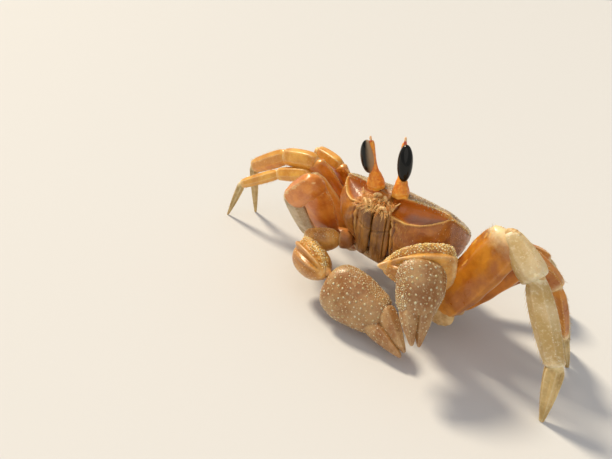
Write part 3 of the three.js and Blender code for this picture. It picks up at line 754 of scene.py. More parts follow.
top_line = np.interp(mirror_x, SOCKET_X, SOCKET_TOP)
low_line = np.interp(mirror_x, SOCKET_X, SOCKET_LOW)
middle, half = (top_line + low_line) / 2, np.maximum((top_line - low_line) / 2, 0.05)
upright = (z - middle) / half
in_socket = np.clip(1 - np.abs(upright) ** 2.6, 0, 1) ** 0.75
in_socket *= (mirror_x > 2.2) * (mirror_x < 19.7) * (facing > 0.3)
depth = np.interp(mirror_x, SOCKET_X, SOCKET_DEEP)
socket = in_socket * depth
low_rim = hill(z, low_line - 0.12, 0.26) * facing
low_rim *= soft_step(mirror_x, 3.0, 4.2) * soft_drop(mirror_x, 19.0, 20.2)
top_rim = hill(z, top_line + 0.16, 0.3) * facing
top_rim *= soft_step(mirror_x, 4.0, 5.5) * soft_drop(mirror_x, 19.4, 20.4)

# %% Dents and ridges: the mouth and the face beside it
mouth_half = np.interp(z, [-21, -15, -10, -7.6], [5.2, 6.5, 6.6, 5.4])
in_mouth = soft_step(mouth_half - mirror_x, -0.2, 0.5) * soft_step(-z, 6.8, 7.8) * (ways[:, 1] < -0.1)
mouth_rim = hill(mirror_x, mouth_half + 0.55, 0.32) * faces_front
mouth_rim *= soft_step(-z, 7.2, 8.4) * soft_step(z, -20, -17)
mouth_line = hill(mirror_x, mouth_half + 1.25, 0.22) * faces_front
mouth_line *= soft_step(-z, 7.6, 9.2) * soft_step(z, -19, -16)
nose_pit = hill(z, -4.9, 1.9) * soft_drop(mirror_x, 3.4, 4.4) * facing

side_edge = soft_step(mirror_x, 14.0, 18.0) * soft_step(-y, -8, 2)
side_edge *= hill(z, -1.35 - 0.05 * np.maximum(y + 14, 0), 0.42)
flank_line = hill(z, -9.2 + 0.16 * (y + 16), 0.3) * soft_step(mirror_x, 12.5, 15) * soft_step(y, -15.5, -12)
cheek = hill(z, -13.5, 4.0) * hill(mirror_x, 11.5, 4.2) * facing
FOLDS_FROM, FOLDS = (3.2, -8.2), 15  # the point that the fine folds fan out from, and how many go round it
aside, above = mirror_x - FOLDS_FROM[0], z - FOLDS_FROM[1]
round_mouth = np.hypot(aside, above)
folds = np.sin(np.arctan2(above, aside) * FOLDS + 0.9 * np.sin(round_mouth * 0.9) + 0.6 * np.sign(x))
folds *= soft_step(round_mouth, 2.4, 3.4) * soft_drop(round_mouth, 6.0, 9.5) * soft_step(-z, 6.9, 8.0) * facing

# %% Dents and ridges: the grooves and swellings of the back
gut = hill(mirror_x, 3.8 + 0.9 * np.sin((y + 2) / 5), 0.9) * soft_step(y, -10, -4) * soft_drop(y, 8, 13)
neck_groove = hill(y, 1.2 + 0.05 * mirror_x**2, 0.9) * soft_drop(mirror_x, 8, 12)
heart_groove = hill(y, 9.4 - 0.02 * mirror_x**2, 0.8) * soft_drop(mirror_x, 4, 6.5)
gill_swell = hill(mirror_x, 11.5, 5.0) * hill(y, 4.5, 8.0)
stomach_swell = hill(mirror_x, 0, 3.6) * hill(y, -8.0, 5.0)

# %% Press them all in, backwards along Y or in and out along the surface
places[:, 1] += socket
places[:, 1] -= 0.4 * low_rim + 0.12 * top_rim + 0.7 * cheek
places[:, 1] += 1.7 * in_mouth + 1.3 * nose_pit
lines = 0.15 * mouth_rim - 0.3 * mouth_line - 0.22 * flank_line + 0.3 * side_edge
places += ways * (0.2 * folds * (in_mouth < 0.3) + lines)[:, None]
grooves = 0.55 * gut + 0.4 * neck_groove + 0.4 * heart_groove
places += ways * (roof * (0.35 * gill_swell + 0.25 * stomach_swell - grooves))[:, None]
places[:, 0] += np.sign(x) * 0.25 * side_edge
ripple = np.sin(places[:, 0] * 1.3 + 1) * np.sin(places[:, 1] * 1.1) * np.sin(places[:, 2] * 1.2 + 2)
places += ways * (0.1 * ripple * (1 - np.clip(in_socket * 2, 0, 1)))[:, None]
move_points(shell, places)

# %% Write down where everything is, for the finish to read
beside_mouth = soft_drop(mirror_x, 7, 15) * facing * soft_step(-z, 7.4, 9.0)
lowest = soft_step(-upright, -0.9, 0.6) * soft_step(mirror_x, 4.5, 10)
note(shell, "grain", places)
note(shell, "share", np.full(len(places), 0.5))
note(shell, "back_side", ways[:, 2])
note(shell, "roof", np.clip(roof - 0.6 * np.clip(low_rim, 0, 1), 0, 1))
note(shell, "socket", np.clip(socket / 2.7, 0, 1))
note(shell, "socket_low", np.clip(socket / 2.4, 0, 1) * lowest)
note(shell, "rim", np.clip(low_rim * 1.1 + 0.15 * mouth_rim + 0.7 * side_edge + 0.3 * top_rim, 0, 1))
note(shell, "brow", hill(z, top_line - 0.2, 0.8) * facing * soft_step(mirror_x, 3, 5) * 0.8)
# Where the finish paints shade: the grooves of the back, the line beside the mouth and the recess behind the mouth
# plates
on_roof = 0.35 * roof * (gut + neck_groove + heart_groove)
note(shell, "groove", np.clip(mouth_line * 0.9 + 0.8 * in_mouth + on_roof, 0, 0.9))
note(shell, "beside_mouth", np.clip(beside_mouth + 0.6 * np.clip(folds, 0, 1), 0, 1))
note(shell, "low_flank", soft_step(-z, 9, 17) * soft_step(y, -12, -4))

# %% Grains of the shell, joined to it
on_back = roof * (0.35 + 0.65 * soft_step(mirror_x + np.abs(y + 4) * 0.5, 3, 18))
on_flank = (1 - roof) * (1 - under) * (in_socket < 0.01) * (in_mouth < 0.01) * 0.15 * soft_step(y, -17, -12)
parts = [
    grains_on(shell, "back", on_back, 1700, 0.5, 0.2, "back_grains", 0.75),
    grains_on(shell, "edge", side_edge**2, 150, 0.42, 0.2, "gold_grains"),
    grains_on(shell, "brow", (top_rim > 0.55) * 1.0, 150, 0.4, 0.17, "gold_grains"),
    grains_on(shell, "flank", on_flank, 500, 0.8, 0.14, "gold_grains", 0.6),
]
shell.data.materials.append(FINISHES["shell"])
shell = join_to(shell, parts)

# %% [markdown]
# The front of the shell ends in a narrow tongue between the eyes, the rostrum, which bends down over the
# feelers. It is a limb-like form, so the limb tool makes it, flattened, and it is joined to the shell.

# %% The tongue between the eyes
TONGUE = [(0, 0.5, 0.8), (0.1, 0.9, 1.1), (0.35, 1.0, 0.95), (0.7, 1.0, 0.85), (0.92, 0.8, 0.7), (1, 0.4, 0.4)]


def body_form(name, rings, start, end, up, height, width, finish, relief=None):
    """A limb form that lies between two points of the body, to be joined to something else there."""
    piece, place = limb_between(name, rings, start, end, up, height, width, relief)
    piece.data.transform(place)
    piece.data.materials.append(FINISHES[finish])
    return piece


def tongue_relief(along, turn, places):
    """Two low rims and a hollow between them, on the front side only."""
    return (0.3 * hill(np.abs(places[:, 1]), 1.75, 0.35) - 0.25 * hill(places[:, 1], 0, 0.9)) * (turn > 0)


tongue = body_form("tongue", TONGUE, (0, -15.4, 0.0), (0, -18.9, -4.6), (0, -1, 0.5), 1.5, 4.6, "shell", tongue_relief)
tongue_places = points_of(tongue)
for key in ("socket", "socket_low", "rim", "brow", "groove", "beside_mouth", "low_flank"):
    note(tongue, key, np.zeros(len(tongue_places)))
note(tongue, "roof", soft_step(tongue_places[:, 2], -3.6, -0.8))
shell = join_to(shell, [tongue])
finish_piece(shell, BODY, "shell", ["carapace"])
print("shell triangles:", sum(len(p.vertices) - 2 for p in shell.data.polygons))

# %% [markdown]
# ## Belly plates
# Under the body lie the breast plate, in paired sections, and the abdomen, a narrow flap of seven sections
# folded forward against it. Both are flat limb forms. Their sections are ridges pushed up by a short rule.

# %% Breast plate and folded abdomen
PLATE = [
    (0, 0.4, 0.5), (0.04, 0.75, 0.8), (0.15, 0.95, 0.98), (0.5, 1, 1), (0.85, 0.9, 0.9), (0.96, 0.65, 0.68),
    (1, 0.35, 0.4),
]
FLAP = [
    (0, 0.4, 0.3), (0.04, 0.8, 0.42), (0.14, 0.92, 0.52), (0.5, 1, 0.7), (0.85, 0.9, 0.98), (0.97, 0.6, 0.85),
    (1, 0.4, 0.7),
]
PLATE_SEAMS, FLAP_SEAMS = (0.3, 0.46, 0.62, 0.77, 0.9), (0.16, 0.32, 0.45, 0.58, 0.7, 0.82)


def breast_relief(along, turn, places):
    outer = soft_step(np.abs(places[:, 1]), 4.4, 5.2)
    seams = sum(hill(along + 0.008 * np.abs(places[:, 1]), at, 0.014) for at in PLATE_SEAMS)
    trough = soft_drop(np.abs(places[:, 1]), 4.2, 5.0) * soft_step(along, 0.2, 0.3)
    return (-0.45 * seams * outer - 0.9 * trough) * soft_step(turn, 0, 20)


def flap_relief(along, turn, places):
    seams = sum(hill(along + 0.001 * places[:, 1] ** 2, at, 0.012) for at in FLAP_SEAMS)
    return -0.3 * seams * soft_step(turn, 0, 20) + 0.2 * hill(places[:, 1], 0, 1.2) * soft_step(turn, 20, 60)


for node, start, end, form, size, relief in (
    ("sternum", (0, -9.6, -20.4), (0, 14.6, -15.2), PLATE, (4.0, 25.0), breast_relief),
    ("abdomen", (0, -3.6, -21.0), (0, 13.4, -17.4), FLAP, (1.8, 9.0), flap_relief),
):
    plate, place = limb_between(f"{node}_shell", form, start, end, (0, 0, -1), *size, relief, sides=24, levels=3)
    finish_piece(plate, BODY @ place, "underside", [node])
print("belly plates made")

# %% [markdown]
# ## Eyes
# Each eye is a long black cornea set into the outer side of a stalk, with a spike above it. The stalk flares
# where it is hinged in the socket, then runs behind the cornea as a narrow strip. The spike is joined to the
# stalk, as it grows from it, and the cornea is a piece of its own.

# %% Stalks, spikes and corneas
EYE_FOOT, EYE_STALK, EYE_SPIKE = (4.5, -17.2, -1.95), 14.2, 2.1
EYE_HELD = {  # which way each eye points, and how much further out of its socket it is held
    "left": ((-0.2, 0.07, 0.977), 0.6), "right": ((-0.1, -0.25, 0.963), 0.0),
}
EYE_LENGTH, EYE_START, EYE_OUT = 9.9, 4.7, 1.6
STALK = [
    (0, 0.72, 0.7), (0.025, 0.94, 0.94), (0.08, 1.0, 0.98), (0.14, 0.96, 0.92), (0.2, 0.84, 0.8), (0.27, 0.66, 0.62),
    (0.36, 0.4, 0.42), (0.5, 0.28, 0.34), (0.65, 0.26, 0.34), (0.77, 0.28, 0.34), (0.85, 0.28, 0.32), (0.9, 0.2, 0.22),
]
SPIKE = [(at, wide, wide) for at, wide in ((0, 0.9), (0.15, 1), (0.4, 0.72), (0.7, 0.6), (0.88, 0.62), (1, 0.3))]
EYE = [(at, wide, wide) for at, wide in (
    (0, 0.2), (0.03, 0.4), (0.12, 0.68), (0.28, 0.92), (0.5, 1), (0.72, 0.92), (0.88, 0.68), (0.97, 0.4), (1, 0.2),
)]


def stalk_relief(along, turn, places):
    wrinkles = 0.07 * np.sin(places[:, 0] * 5 + np.sin(np.radians(turn) * 2)) * soft_drop(along, 0.05, 0.2)
    lumps = 0.12 * np.sin(np.radians(turn) * 5 + places[:, 0]) * soft_drop(along, 0.05, 0.26)
    cup = 0.14 * hill(along, 0.28, 0.03)
    strip = rows_round(turn, (28, 152), 12) * soft_step(along, 0.3, 0.4)
    return wrinkles + lumps + cup + 0.14 * strip


for name, side in SIDES.items():
    foot = LEANING @ Vector((side * EYE_FOOT[0], *EYE_FOOT[1:]))
    rise, further = Vector(EYE_HELD[name][0]).normalized(), EYE_HELD[name][1]
    outward = Vector((side * 0.85, -0.52, 0))
    tip = foot + rise * (EYE_STALK + further + EYE_SPIKE)
    stalk, place = limb_between(f"eyestalk_{name}_shell", STALK, foot, tip, -outward, 5.4, 5.0, stalk_relief, sides=20)
    stalk.data.materials.append(FINISHES["eyestalks"])
    spike_piece = limb("eye_spike", SPIKE, 2.5, 1.15, 1.15, sides=12)
    spike_piece.data.materials.append(FINISHES["eye_spikes"])
    spike_piece.data.transform(Matrix.Translation((EYE_STALK + further - 0.5, 0, -0.25)))
    stalk = join_to(stalk, [spike_piece])
    finish_piece(stalk, STANDING @ place, "eyestalks", [f"eyestalk_{name}"])
    start = foot + rise * (EYE_START + further) + outward * EYE_OUT
    end = start + rise * EYE_LENGTH
    eye, place = limb_between(f"cornea_{name}_shell", EYE, start, end, outward, 4.4, 4.3, sides=24, levels=3)
    finish_piece(eye, STANDING @ place, "corneas", [f"cornea_{name}"])
print("eyes made")

# %% [markdown]
# ## Walking legs
# Every leg has a hip in the body and four long pieces: merus, carpus, propodus and dactyl. Each is a limb form
# with its own set of rings, and its ridges are pushed up along it. The pose comes from four angles per leg.
# A soft, wrinkled skin fills the gap at each joint, as it does on the animal.

# %% Poses and sizes of the legs
LEG_BASE = {2: (12.5, -4.0, -18.5), 3: (13.5, 3.0, -18.0), 4: (13.0, 9.0, -17.0), 5: (12.5, 12.5, -14.5)}
LEG_SIZE = {  # hip, then (height, width) of merus, carpus, propodus and dactyl
    2: (6.2, (11.6, 6.0), (8.8, 5.8), (6.6, 4.4), (4.6, 3.2)),
    3: (6.2, (10.4, 5.6), (6.4, 4.8), (5.2, 3.6), (3.6, 2.6)),
    4: (6.0, (10.0, 5.6), (7.0, 5.2), (6.2, 4.2), (3.8, 2.8)),
    5: (5.2, (8.0, 5.0), (6.0, 4.4), (4.8, 3.4), (3.0, 2.3)),
}
LEG_TRIM = {  # pieces of single legs that differ from their pair's: 0 is the merus
    "leg_left_2": {1: (7.4, 5.4)},
    "leg_right_2": {0: (9.4, 6.4), 1: (8.8, 6.6), 2: (7.6, 4.6)},
    "leg_right_3": {1: (5.0, 4.2), 2: (4.0, 3.2), 3: (3.0, 2.4)},
}
LEG_POSE = {  # hip (length, swing, rise), swing, lean, rise of each piece, length of the first three
    "left_2": ((12.4, 5, -31.5), 0, -4, (67.6, -37.7, -56.5, -82), (31.4, 11.5, 20.3)),
    "left_3": ((9.8, -17, -42), -23, 14, (61.8, -44, -70, -66), (31.3, 12.2, 17.1)),
    "left_4": ((7.6, -32, -18), -22, 21.4, (55.9, -47, -64.5, -68.6), (24.8, 11.3, 14.7)),
    "left_5": ((6.0, -40, 2), -58, 0, (34, -28, -52, -66), (18.0, 9.0, 11.0)),
    "right_2": ((11.0, 15, -11), 27, -32, (84.1, -50, -100, -101), (24.9, 12.8, 17.8)),
    "right_3": ((7.6, 12.4, -17), 19.6, -4.3, (46.5, -15.4, -29, -65), (26.1, 13.3, 18.8)),
    "right_4": ((8.5, 26, 12), 14.6, -13.3, (50.3, -9, -30, -84), (28.6, 13.0, 19.0)),
    "right_5": ((9.3, 28, 14), -2.8, -17.9, (61.2, 4, -66, -84), (23.9, 11.2, 17.0)),
}
LEG_FINISH = {  # merus, carpus, propodus
    "left_2": ("leg_upper", "leg_lower", "leg_lower"), "left_3": ("leg_deep", "leg_upper", "leg_upper"),
    "left_4": ("leg_upper", "leg_upper", "leg_lower"), "left_5": ("leg_upper", "leg_upper", "leg_lower"),
    "right_2": ("leg_salmon", "leg_salmon", "leg_grey"), "right_3": ("leg_golden", "leg_golden", "leg_golden"),
    "right_4": ("leg_deep", "leg_golden", "leg_golden"), "right_5": ("leg_deep", "leg_golden", "leg_golden"),
}


def heading(side, swing, rise, lean=0.0):
    """The way a piece points, and its back, when it swings forward and rises in a leaning plane."""
    swing, rise, lean = (math.radians(v) for v in (swing, rise, lean))
    out = Vector((side * math.cos(swing), -math.sin(swing), 0))
    normal = out.cross(SKY)
    up = Vector((0, 0, math.cos(lean))) + normal * math.sin(lean)
    return out * math.cos(rise) + up * math.sin(rise), out * -math.sin(rise) + up * math.cos(rise)


# %% Rings and ridges of each leg piece
RINGS = {
    "hip": [
        (0.0, 0.5, 0.5), (0.08, 0.72, 0.72), (0.3, 0.95, 0.95), (0.62, 1.0, 1.0), (0.82, 1.02, 1.02), (0.9, 0.9, 0.9),
        (1.0, 0.6, 0.6),
    ],
    "merus": [
        (0.0, 0.36, 0.44), (0.02, 0.48, 0.58), (0.07, 0.62, 0.74), (0.18, 0.8, 0.92), (0.34, 0.93, 1.0),
        (0.55, 0.99, 1.0), (0.74, 1.01, 0.98), (0.86, 0.98, 0.93), (0.92, 0.92, 0.88), (0.945, 0.92, 0.88),
        (0.975, 0.82, 0.8), (1.0, 0.6, 0.58), (1.01, 0.36, 0.36), (1.014, 0.16, 0.16),
    ],
    "carpus": [
        (0.0, 0.16, 0.2), (0.012, 0.36, 0.44), (0.04, 0.52, 0.64), (0.14, 0.66, 0.78), (0.34, 0.84, 0.9),
        (0.6, 1.01, 1.01), (0.79, 1.03, 1.02), (0.88, 0.98, 0.98), (0.915, 0.99, 0.99), (0.955, 0.9, 0.92),
        (0.985, 0.68, 0.7), (1.0, 0.42, 0.44),
    ],
    "propodus": [
        (0.0, 0.2, 0.22), (0.006, 0.44, 0.48), (0.025, 0.64, 0.68), (0.08, 0.78, 0.82), (0.2, 0.93, 0.95),
        (0.42, 1.03, 1.02), (0.66, 0.96, 0.96), (0.85, 0.82, 0.84), (0.925, 0.76, 0.78), (0.95, 0.79, 0.81),
        (0.98, 0.7, 0.74), (1.0, 0.42, 0.44),
    ],
    "dactyl": [
        (0.0, 0.6, 0.64), (0.03, 0.84, 0.86), (0.09, 1.0, 1.02), (0.22, 0.98, 0.98), (0.45, 0.85, 0.85),
        (0.65, 0.66, 0.68), (0.8, 0.48, 0.52), (0.9, 0.36, 0.42), (0.965, 0.28, 0.34), (0.99, 0.24, 0.3),
        (1.0, 0.16, 0.2),
    ],
    "full_carpus": [
        (0.0, 0.3, 0.4), (0.03, 0.56, 0.64), (0.09, 0.82, 0.86), (0.2, 0.97, 0.98), (0.4, 1.03, 1.02),
        (0.62, 1.02, 1.02), (0.8, 0.97, 0.98), (0.89, 0.9, 0.92), (0.92, 0.92, 0.93), (0.96, 0.82, 0.84),
        (0.99, 0.6, 0.64), (1.0, 0.4, 0.42),
    ],
    "full_propodus": [
        (0.0, 0.5, 0.56), (0.025, 0.76, 0.8), (0.08, 0.92, 0.94), (0.2, 1.0, 1.0), (0.42, 1.03, 1.02),
        (0.66, 0.98, 0.98), (0.85, 0.9, 0.9), (0.925, 0.84, 0.85), (0.95, 0.86, 0.87), (0.98, 0.74, 0.78),
        (1.0, 0.42, 0.44),
    ],
    "skin": [(at, wide, wide) for at, wide in ((0, 0.4), (0.12, 0.76), (0.35, 1), (0.65, 1), (0.88, 0.76), (1, 0.4))],
}


def inner(along):
    return soft_step(along, 0.03, 0.14) * soft_drop(along, 0.86, 0.95)


def merus_relief(along, turn, places):
    shape = 0.55 * hill_round(turn, 90, 13) - 0.3 * rows_round(turn, (58, 122), 14)
    shape += 0.35 * rows_round(turn, (-50, -130), 10)
    flats = -0.35 * rows_round(turn, (5, 175), 36) - 0.15 * hill_round(turn, -90, 22)
    creases = 0.035 * np.sin(places[:, 0] * 5.5 + 1.5 * np.sin(np.radians(turn) * 3)) * hill_round(turn, 90, 40)
    waves = 0.09 * np.sin(places[:, 0] * 0.8 + 0.02 * turn)
    return inner(along) * (shape + flats + creases + waves) + 0.1 * hill(along, 0.965, 0.014)


def carpus_relief(along, turn, places):
    ridges = rows_round(turn, (62, 118), 11) + 0.7 * rows_round(turn, (0, 180), 10)
    flats = rows_round(turn, (90, 30, 150), 14)
    return inner(along) * (0.22 * ridges - 0.1 * flats) + 0.1 * hill(along, 0.945, 0.02)


def propodus_relief(along, turn, places):
    ridges = rows_round(turn, (90, 38, 142, -14, -166, -62, -118), 7)
    hollows = rows_round(turn, (64, 116, 12, 168, -38, -142), 9)
    return inner(along) * (0.14 * ridges - 0.09 * hollows) + 0.08 * hill(along, 0.965, 0.016)


def dactyl_relief(along, turn, places):
    ridges = rows_round(turn, (90, 30, 150, -30, -150, -90), 9)
    hollows = rows_round(turn, (60, 120, 0, 180, -60, -120), 10)
    return soft_step(along, 0.03, 0.12) * (1 - along) ** 0.5 * (0.2 * ridges - 0.18 * hollows)


def skin_relief(along, turn, places):
    return 0.06 * np.sin(along * 30)


RELIEF = {"merus": merus_relief, "carpus": carpus_relief, "propodus": propodus_relief, "dactyl": dactyl_relief}


# %% Bristles along the ridges of a limb
def bristles_on(piece, angles, count, gap, long, strip, low=0.1, high=0.95, spread=9):
    """Fringes of bristles, rooted on the ridges and swept towards the tip. Made in the piece's own mm."""
    places, ways = points_of(piece), normals_of(piece)
    turn, along = turn_of(piece), note_of(piece, "share")
    weights = rows_round(turn, angles, spread) * (along > low) * (along < high)
    roots = spaced(places, weights, count, gap)
    if not len(roots):
        return None
    lean = np.tile([[1.0, 0.0, 0.0]], (len(roots), 1))
    lean += chance.normal(0, 0.12, lean.shape)
    directions = ways[roots] * 0.5 + lean * 0.75
    tall = long * chance.uniform(0.6, 1.15, len(roots))
    sizes = np.stack([np.full(len(roots), 0.055), tall], 1)
    patch = np.stack([(strip + along[roots]) / 6, (turn[roots] % 360) / 360 * 0.9], 1)
    return many("fringe", "spike", places[roots] - ways[roots] * 0.05, directions, sizes, "bristles",
                bend=0.35, lean=lean, patches=patch)


# %% Tips that stand on the floor, and rows of beads
def stand_on_floor(piece):
    """Presses the very tip flat where it meets the floor."""
    places = points_of(piece)
    places[:, 2] = np.maximum(places[:, 2], 0)
    move_points(piece, places)


def beaded(piece, angles, count, finish):
    """Rows of tiny pale beads along the ridges of a leg piece."""
    turn, share = turn_of(piece), note_of(piece, "share")
    weights = rows_round(turn, angles, 6) * (share > 0.12) * (share < 0.92)
    piece.data.materials.append(FINISHES[finish])
    beads = grains_on(piece, "beads", weights, count, 0.42, 0.1, "leg_beads", 0.7)
    return join_to(piece, [beads])


# %% Fringes, beads and grains of one leg piece
FRINGES = {  # angles of the ridges, how many bristles, gap, length; then the angles and number of the beads
    "merus": ((90,), 26, 0.8, 1.0, (), 0), "carpus": ((62, 118), 26, 0.6, 0.9, (62, 118), 90),
    "propodus": ((90, -62, -118), 110, 0.5, 1.25, (90, 38, 142), 130),
    "dactyl": ((60, 120, -60, -120), 90, 0.42, 0.75, (), 0),
}
FRINGE_ENDS = {"merus": (0.3, 0.95, 7), "dactyl": (0.08, 0.8)}


def dress(piece, kind, step, finish):
    """Gives a leg piece its small parts, and its finish where it carries beads or is a merus. Its fringe is returned
    beside it, as a piece of its own.
    """
    grains = None
    if kind == "merus":
        back, share = note_of(piece, "back_side"), note_of(piece, "share")
        edge = (back > 0.985) * (share > 0.2) * hill_round(np.degrees(np.arctan2(back, 0.2)), 90, 12)
        grains = grains_on(piece, "edge", edge, 60, 0.45, 0.13, "gold_grains")
    *fringe, bead_angles, beads = FRINGES[kind]
    fringe = bristles_on(piece, *fringe, step, *FRINGE_ENDS.get(kind, ()))
    if beads:
        return beaded(piece, bead_angles, beads, finish), fringe
    if kind == "merus":
        piece.data.materials.append(FINISHES[finish])
    return join_to(piece, [grains]), fringe


# %% The soft skin of one joint
def joint_skin(joint, before, way, back, reach, wide, plump):
    """A wrinkled spindle that lies halfway between the ways of the two pieces that meet here."""
    half = (before + way).normalized() * reach * plump
    skin, place = limb_between("skin", RINGS["skin"], joint - half, joint + half, back, reach * 1.9 * plump,
                               wide * 0.68 * plump, skin_relief)
    skin.data.materials.append(FINISHES["joint_skin"])
    put_in_place(skin, STANDING @ place)
    return skin


# %% One leg
SKIN_REACH = 0.38  # how far a joint's skin reaches each way, as a share of the thinner piece's height


def build_leg(name, side, pair):
    leg, pose = f"leg_{name}_{pair}", f"{name}_{pair}"
    (hip_long, hip_swing, hip_rise), swing, lean, rises, lengths = LEG_POSE[pose]
    hip_size, *sizes = LEG_SIZE[pair]
    for step, size in LEG_TRIM.get(leg, {}).items():
        sizes[step] = size
    coxa = LEANING @ Vector((side * LEG_BASE[pair][0], *LEG_BASE[pair][1:]))
    before, back = heading(side, hip_swing, hip_rise)
    joint = coxa + before * hip_long
    hip, place = limb_between(f"{leg}_hip_shell", RINGS["hip"], coxa - before * 1.5, joint, back, hip_size, hip_size)
    finish_piece(hip, STANDING @ place, "hip", [f"{leg}_hip"])
    skins, fringes = [], []
    finishes = (*LEG_FINISH[pose], "leg_tips")
    for step, kind in enumerate(("merus", "carpus", "propodus", "dactyl")):
        way, back = heading(side, swing, rises[step], lean)
        long = lengths[step] if kind != "dactyl" else (joint.z + BACK.z + 0.3) / -way.z
        tall, wide = sizes[step]
        full = name == "right" and kind in ("carpus", "propodus")
        folded = leg == "leg_right_2" and kind == "carpus"  # bent so far back that its root rounds the knee
        tuck = way * tall * (0.0 if kind == "merus" else 0.42 if folded else 0.3 if full else 0.2)
        piece, place = limb_between(
            f"{leg}_{kind}_shell", RINGS["full_" + kind if full else kind], joint - tuck, joint + way * long, back,
            tall, wide, RELIEF[kind], sides=20, levels=3 if kind == "merus" and pair == 2 else 2,
        )
        piece, fringe = dress(piece, kind, step, finishes[step])
        if fringe:
            put_in_place(fringe, STANDING @ place)
            fringes.append(fringe)
        finish_piece(piece, STANDING @ place, finishes[step], [f"{leg}_{kind}"])
        reach = min(tall, sizes[max(step - 1, 0)][0]) * SKIN_REACH
        plump = 0.7 if folded else 0.86 if kind == "carpus" else 1.0
        skins.append(joint_skin(joint, before, way, back, reach, wide, plump))
        joint, before = joint + way * long, way
    stand_on_floor(piece)
    skins[0].name = skins[0].data.name = f"{leg}_joint_skin"
    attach(join_to(skins[0], skins[1:]), "root")
    fringes[0].name = fringes[0].data.name = f"{leg}_bristles"
    hairs = join_to(fringes[0], fringes[1:])
    stand_on_floor(hairs)
    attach(hairs, "root")


# %% All eight legs
for name, side in SIDES.items():
    for pair in (2, 3, 4, 5):
        build_leg(name, side, pair)

# %% [markdown]
# ## Claws
# The two claw legs end in a palm with a fixed finger and a movable finger above it. The crab's right claw is the
# big one. The arms carry rough grains, the wrists a double ridge and a spine, and the palms rows of pearls.

# %% Places and sizes of the claw arms
ARMS = {
    "left": dict(
        coxa=(11.2, -16.9, -11.5), elbow=(14.8, -20.6, -11.6), knee=(26.6, -20.6, -8.0), merus=(7.4, 6.4),
        wrist_in=(17.4, -33.0, -3.0), wrist_out=(28.3, -18.7, -2.0), wrist=(12.8, 9.4),
        palm_start=(24.9, -26.8, 1.2), palm_end=(30.0, -33.1, -9.9), tip=(33.9, -35.5, -15.4),
        up=(-0.62, -0.76, 0.1), palm=(12.4, 7.0), finger=(4.9, 4.4), pearls=1.0,
    ),
    "right": dict(
        coxa=(-8.7, -17.5, -12.6), elbow=(-12.4, -20.0, -13.0), knee=(-19.0, -28.4, -15.4), merus=(8.2, 6.8),
        wrist_in=(-1.9, -33.5, -16.3), wrist_out=(-16.5, -31.1, -16.7), wrist=(11.4, 9.6),
        palm_start=(-0.6, -34.0, -17.6), palm_end=(17.6, -28.5, -20.9), tip=(27.2, -30.2, -25.6),
        up=(0, 0.5, 0.86), palm=(15.8, 8.6), finger=(6.2, 5.1), pearls=1.5,
    ),
}
RINGS["palm"] = [
    (0.0, 0.42, 0.46), (0.02, 0.6, 0.64), (0.07, 0.78, 0.82), (0.17, 0.92, 0.94), (0.32, 1.0, 1.0), (0.48, 0.98, 1.0),
    (0.62, 0.92, 0.94), (0.76, 0.84, 0.86), (0.88, 0.76, 0.78), (0.96, 0.7, 0.7), (1.0, 0.55, 0.55),
]
RINGS["finger"] = [
    (0.0, 0.6, 0.6), (0.05, 0.86, 0.88), (0.12, 1.0, 1.0), (0.3, 0.97, 0.97), (0.47, 0.83, 0.86), (0.63, 0.66, 0.7),
    (0.78, 0.47, 0.52), (0.9, 0.31, 0.36), (0.97, 0.19, 0.24), (1.0, 0.1, 0.12),
]
RINGS["wrist"] = [
    (0.0, 0.2, 0.3), (0.05, 0.34, 0.5), (0.14, 0.54, 0.72), (0.28, 0.78, 0.92), (0.45, 0.95, 1.0), (0.64, 1.01, 1.03),
    (0.8, 0.99, 1.02), (0.91, 0.9, 0.9), (0.97, 0.74, 0.7), (1.0, 0.5, 0.46),
]


def arm_relief(along, turn, places):
    edges = 0.5 * hill_round(turn, 90, 11) + 0.45 * rows_round(turn, (-25, -155), 10)
    flats = 0.3 * hill_round(turn, -90, 26) + 0.2 * rows_round(turn, (35, 145), 20)
    wrinkles = 0.05 * np.sin(places[:, 0] * 4.0 + 2.0 * np.sin(np.radians(turn) * 2))
    return inner(along) * (edges - flats + wrinkles) + 0.12 * hill(along, 0.95, 0.015)


def wrist_relief(along, turn, places):
    crest = 0.7 * hill_round(turn, 92, 13) - 0.5 * hill_round(turn, 113, 7)
    lip = 0.9 * hill_round(turn, 130, 9) - 0.5 * hill_round(turn, 147, 7)
    folds = (0.32 * hill_round(turn, 161, 6) - 0.2 * hill_round(turn, 172, 6)) * soft_drop(along, 0.45, 0.75)
    lumps = 0.1 * np.sin(places[:, 0] * 1.9 + 2.5 * np.sin(places[:, 0] * 0.7)) * hill_round(turn, 92, 20)
    return soft_step(along, 0.04, 0.2) * soft_drop(along, 0.88, 0.98) * (crest + lip + folds + lumps)


def palm_relief(along, turn, places):
    keel = 0.22 * hill_round(turn, 90, 14) + 0.24 * hill_round(turn, -90, 11)
    waves = 0.1 * np.sin(places[:, 0] * 0.9 + 1.0) * np.sin(places[:, 2] * 0.8)
    return inner(along) * (keel + waves - 0.12 * rows_round(turn, (62, -60), 9))


def finger_relief(along, turn, places):
    ridges = 0.2 * hill_round(turn, 90, 10) + 0.14 * rows_round(turn, (30, 150), 9)
    grooves = 0.16 * rows_round(turn, (60, 120), 10)
    return soft_step(along, 0.05, 0.2) * (1 - along) ** 0.5 * (ridges - grooves)


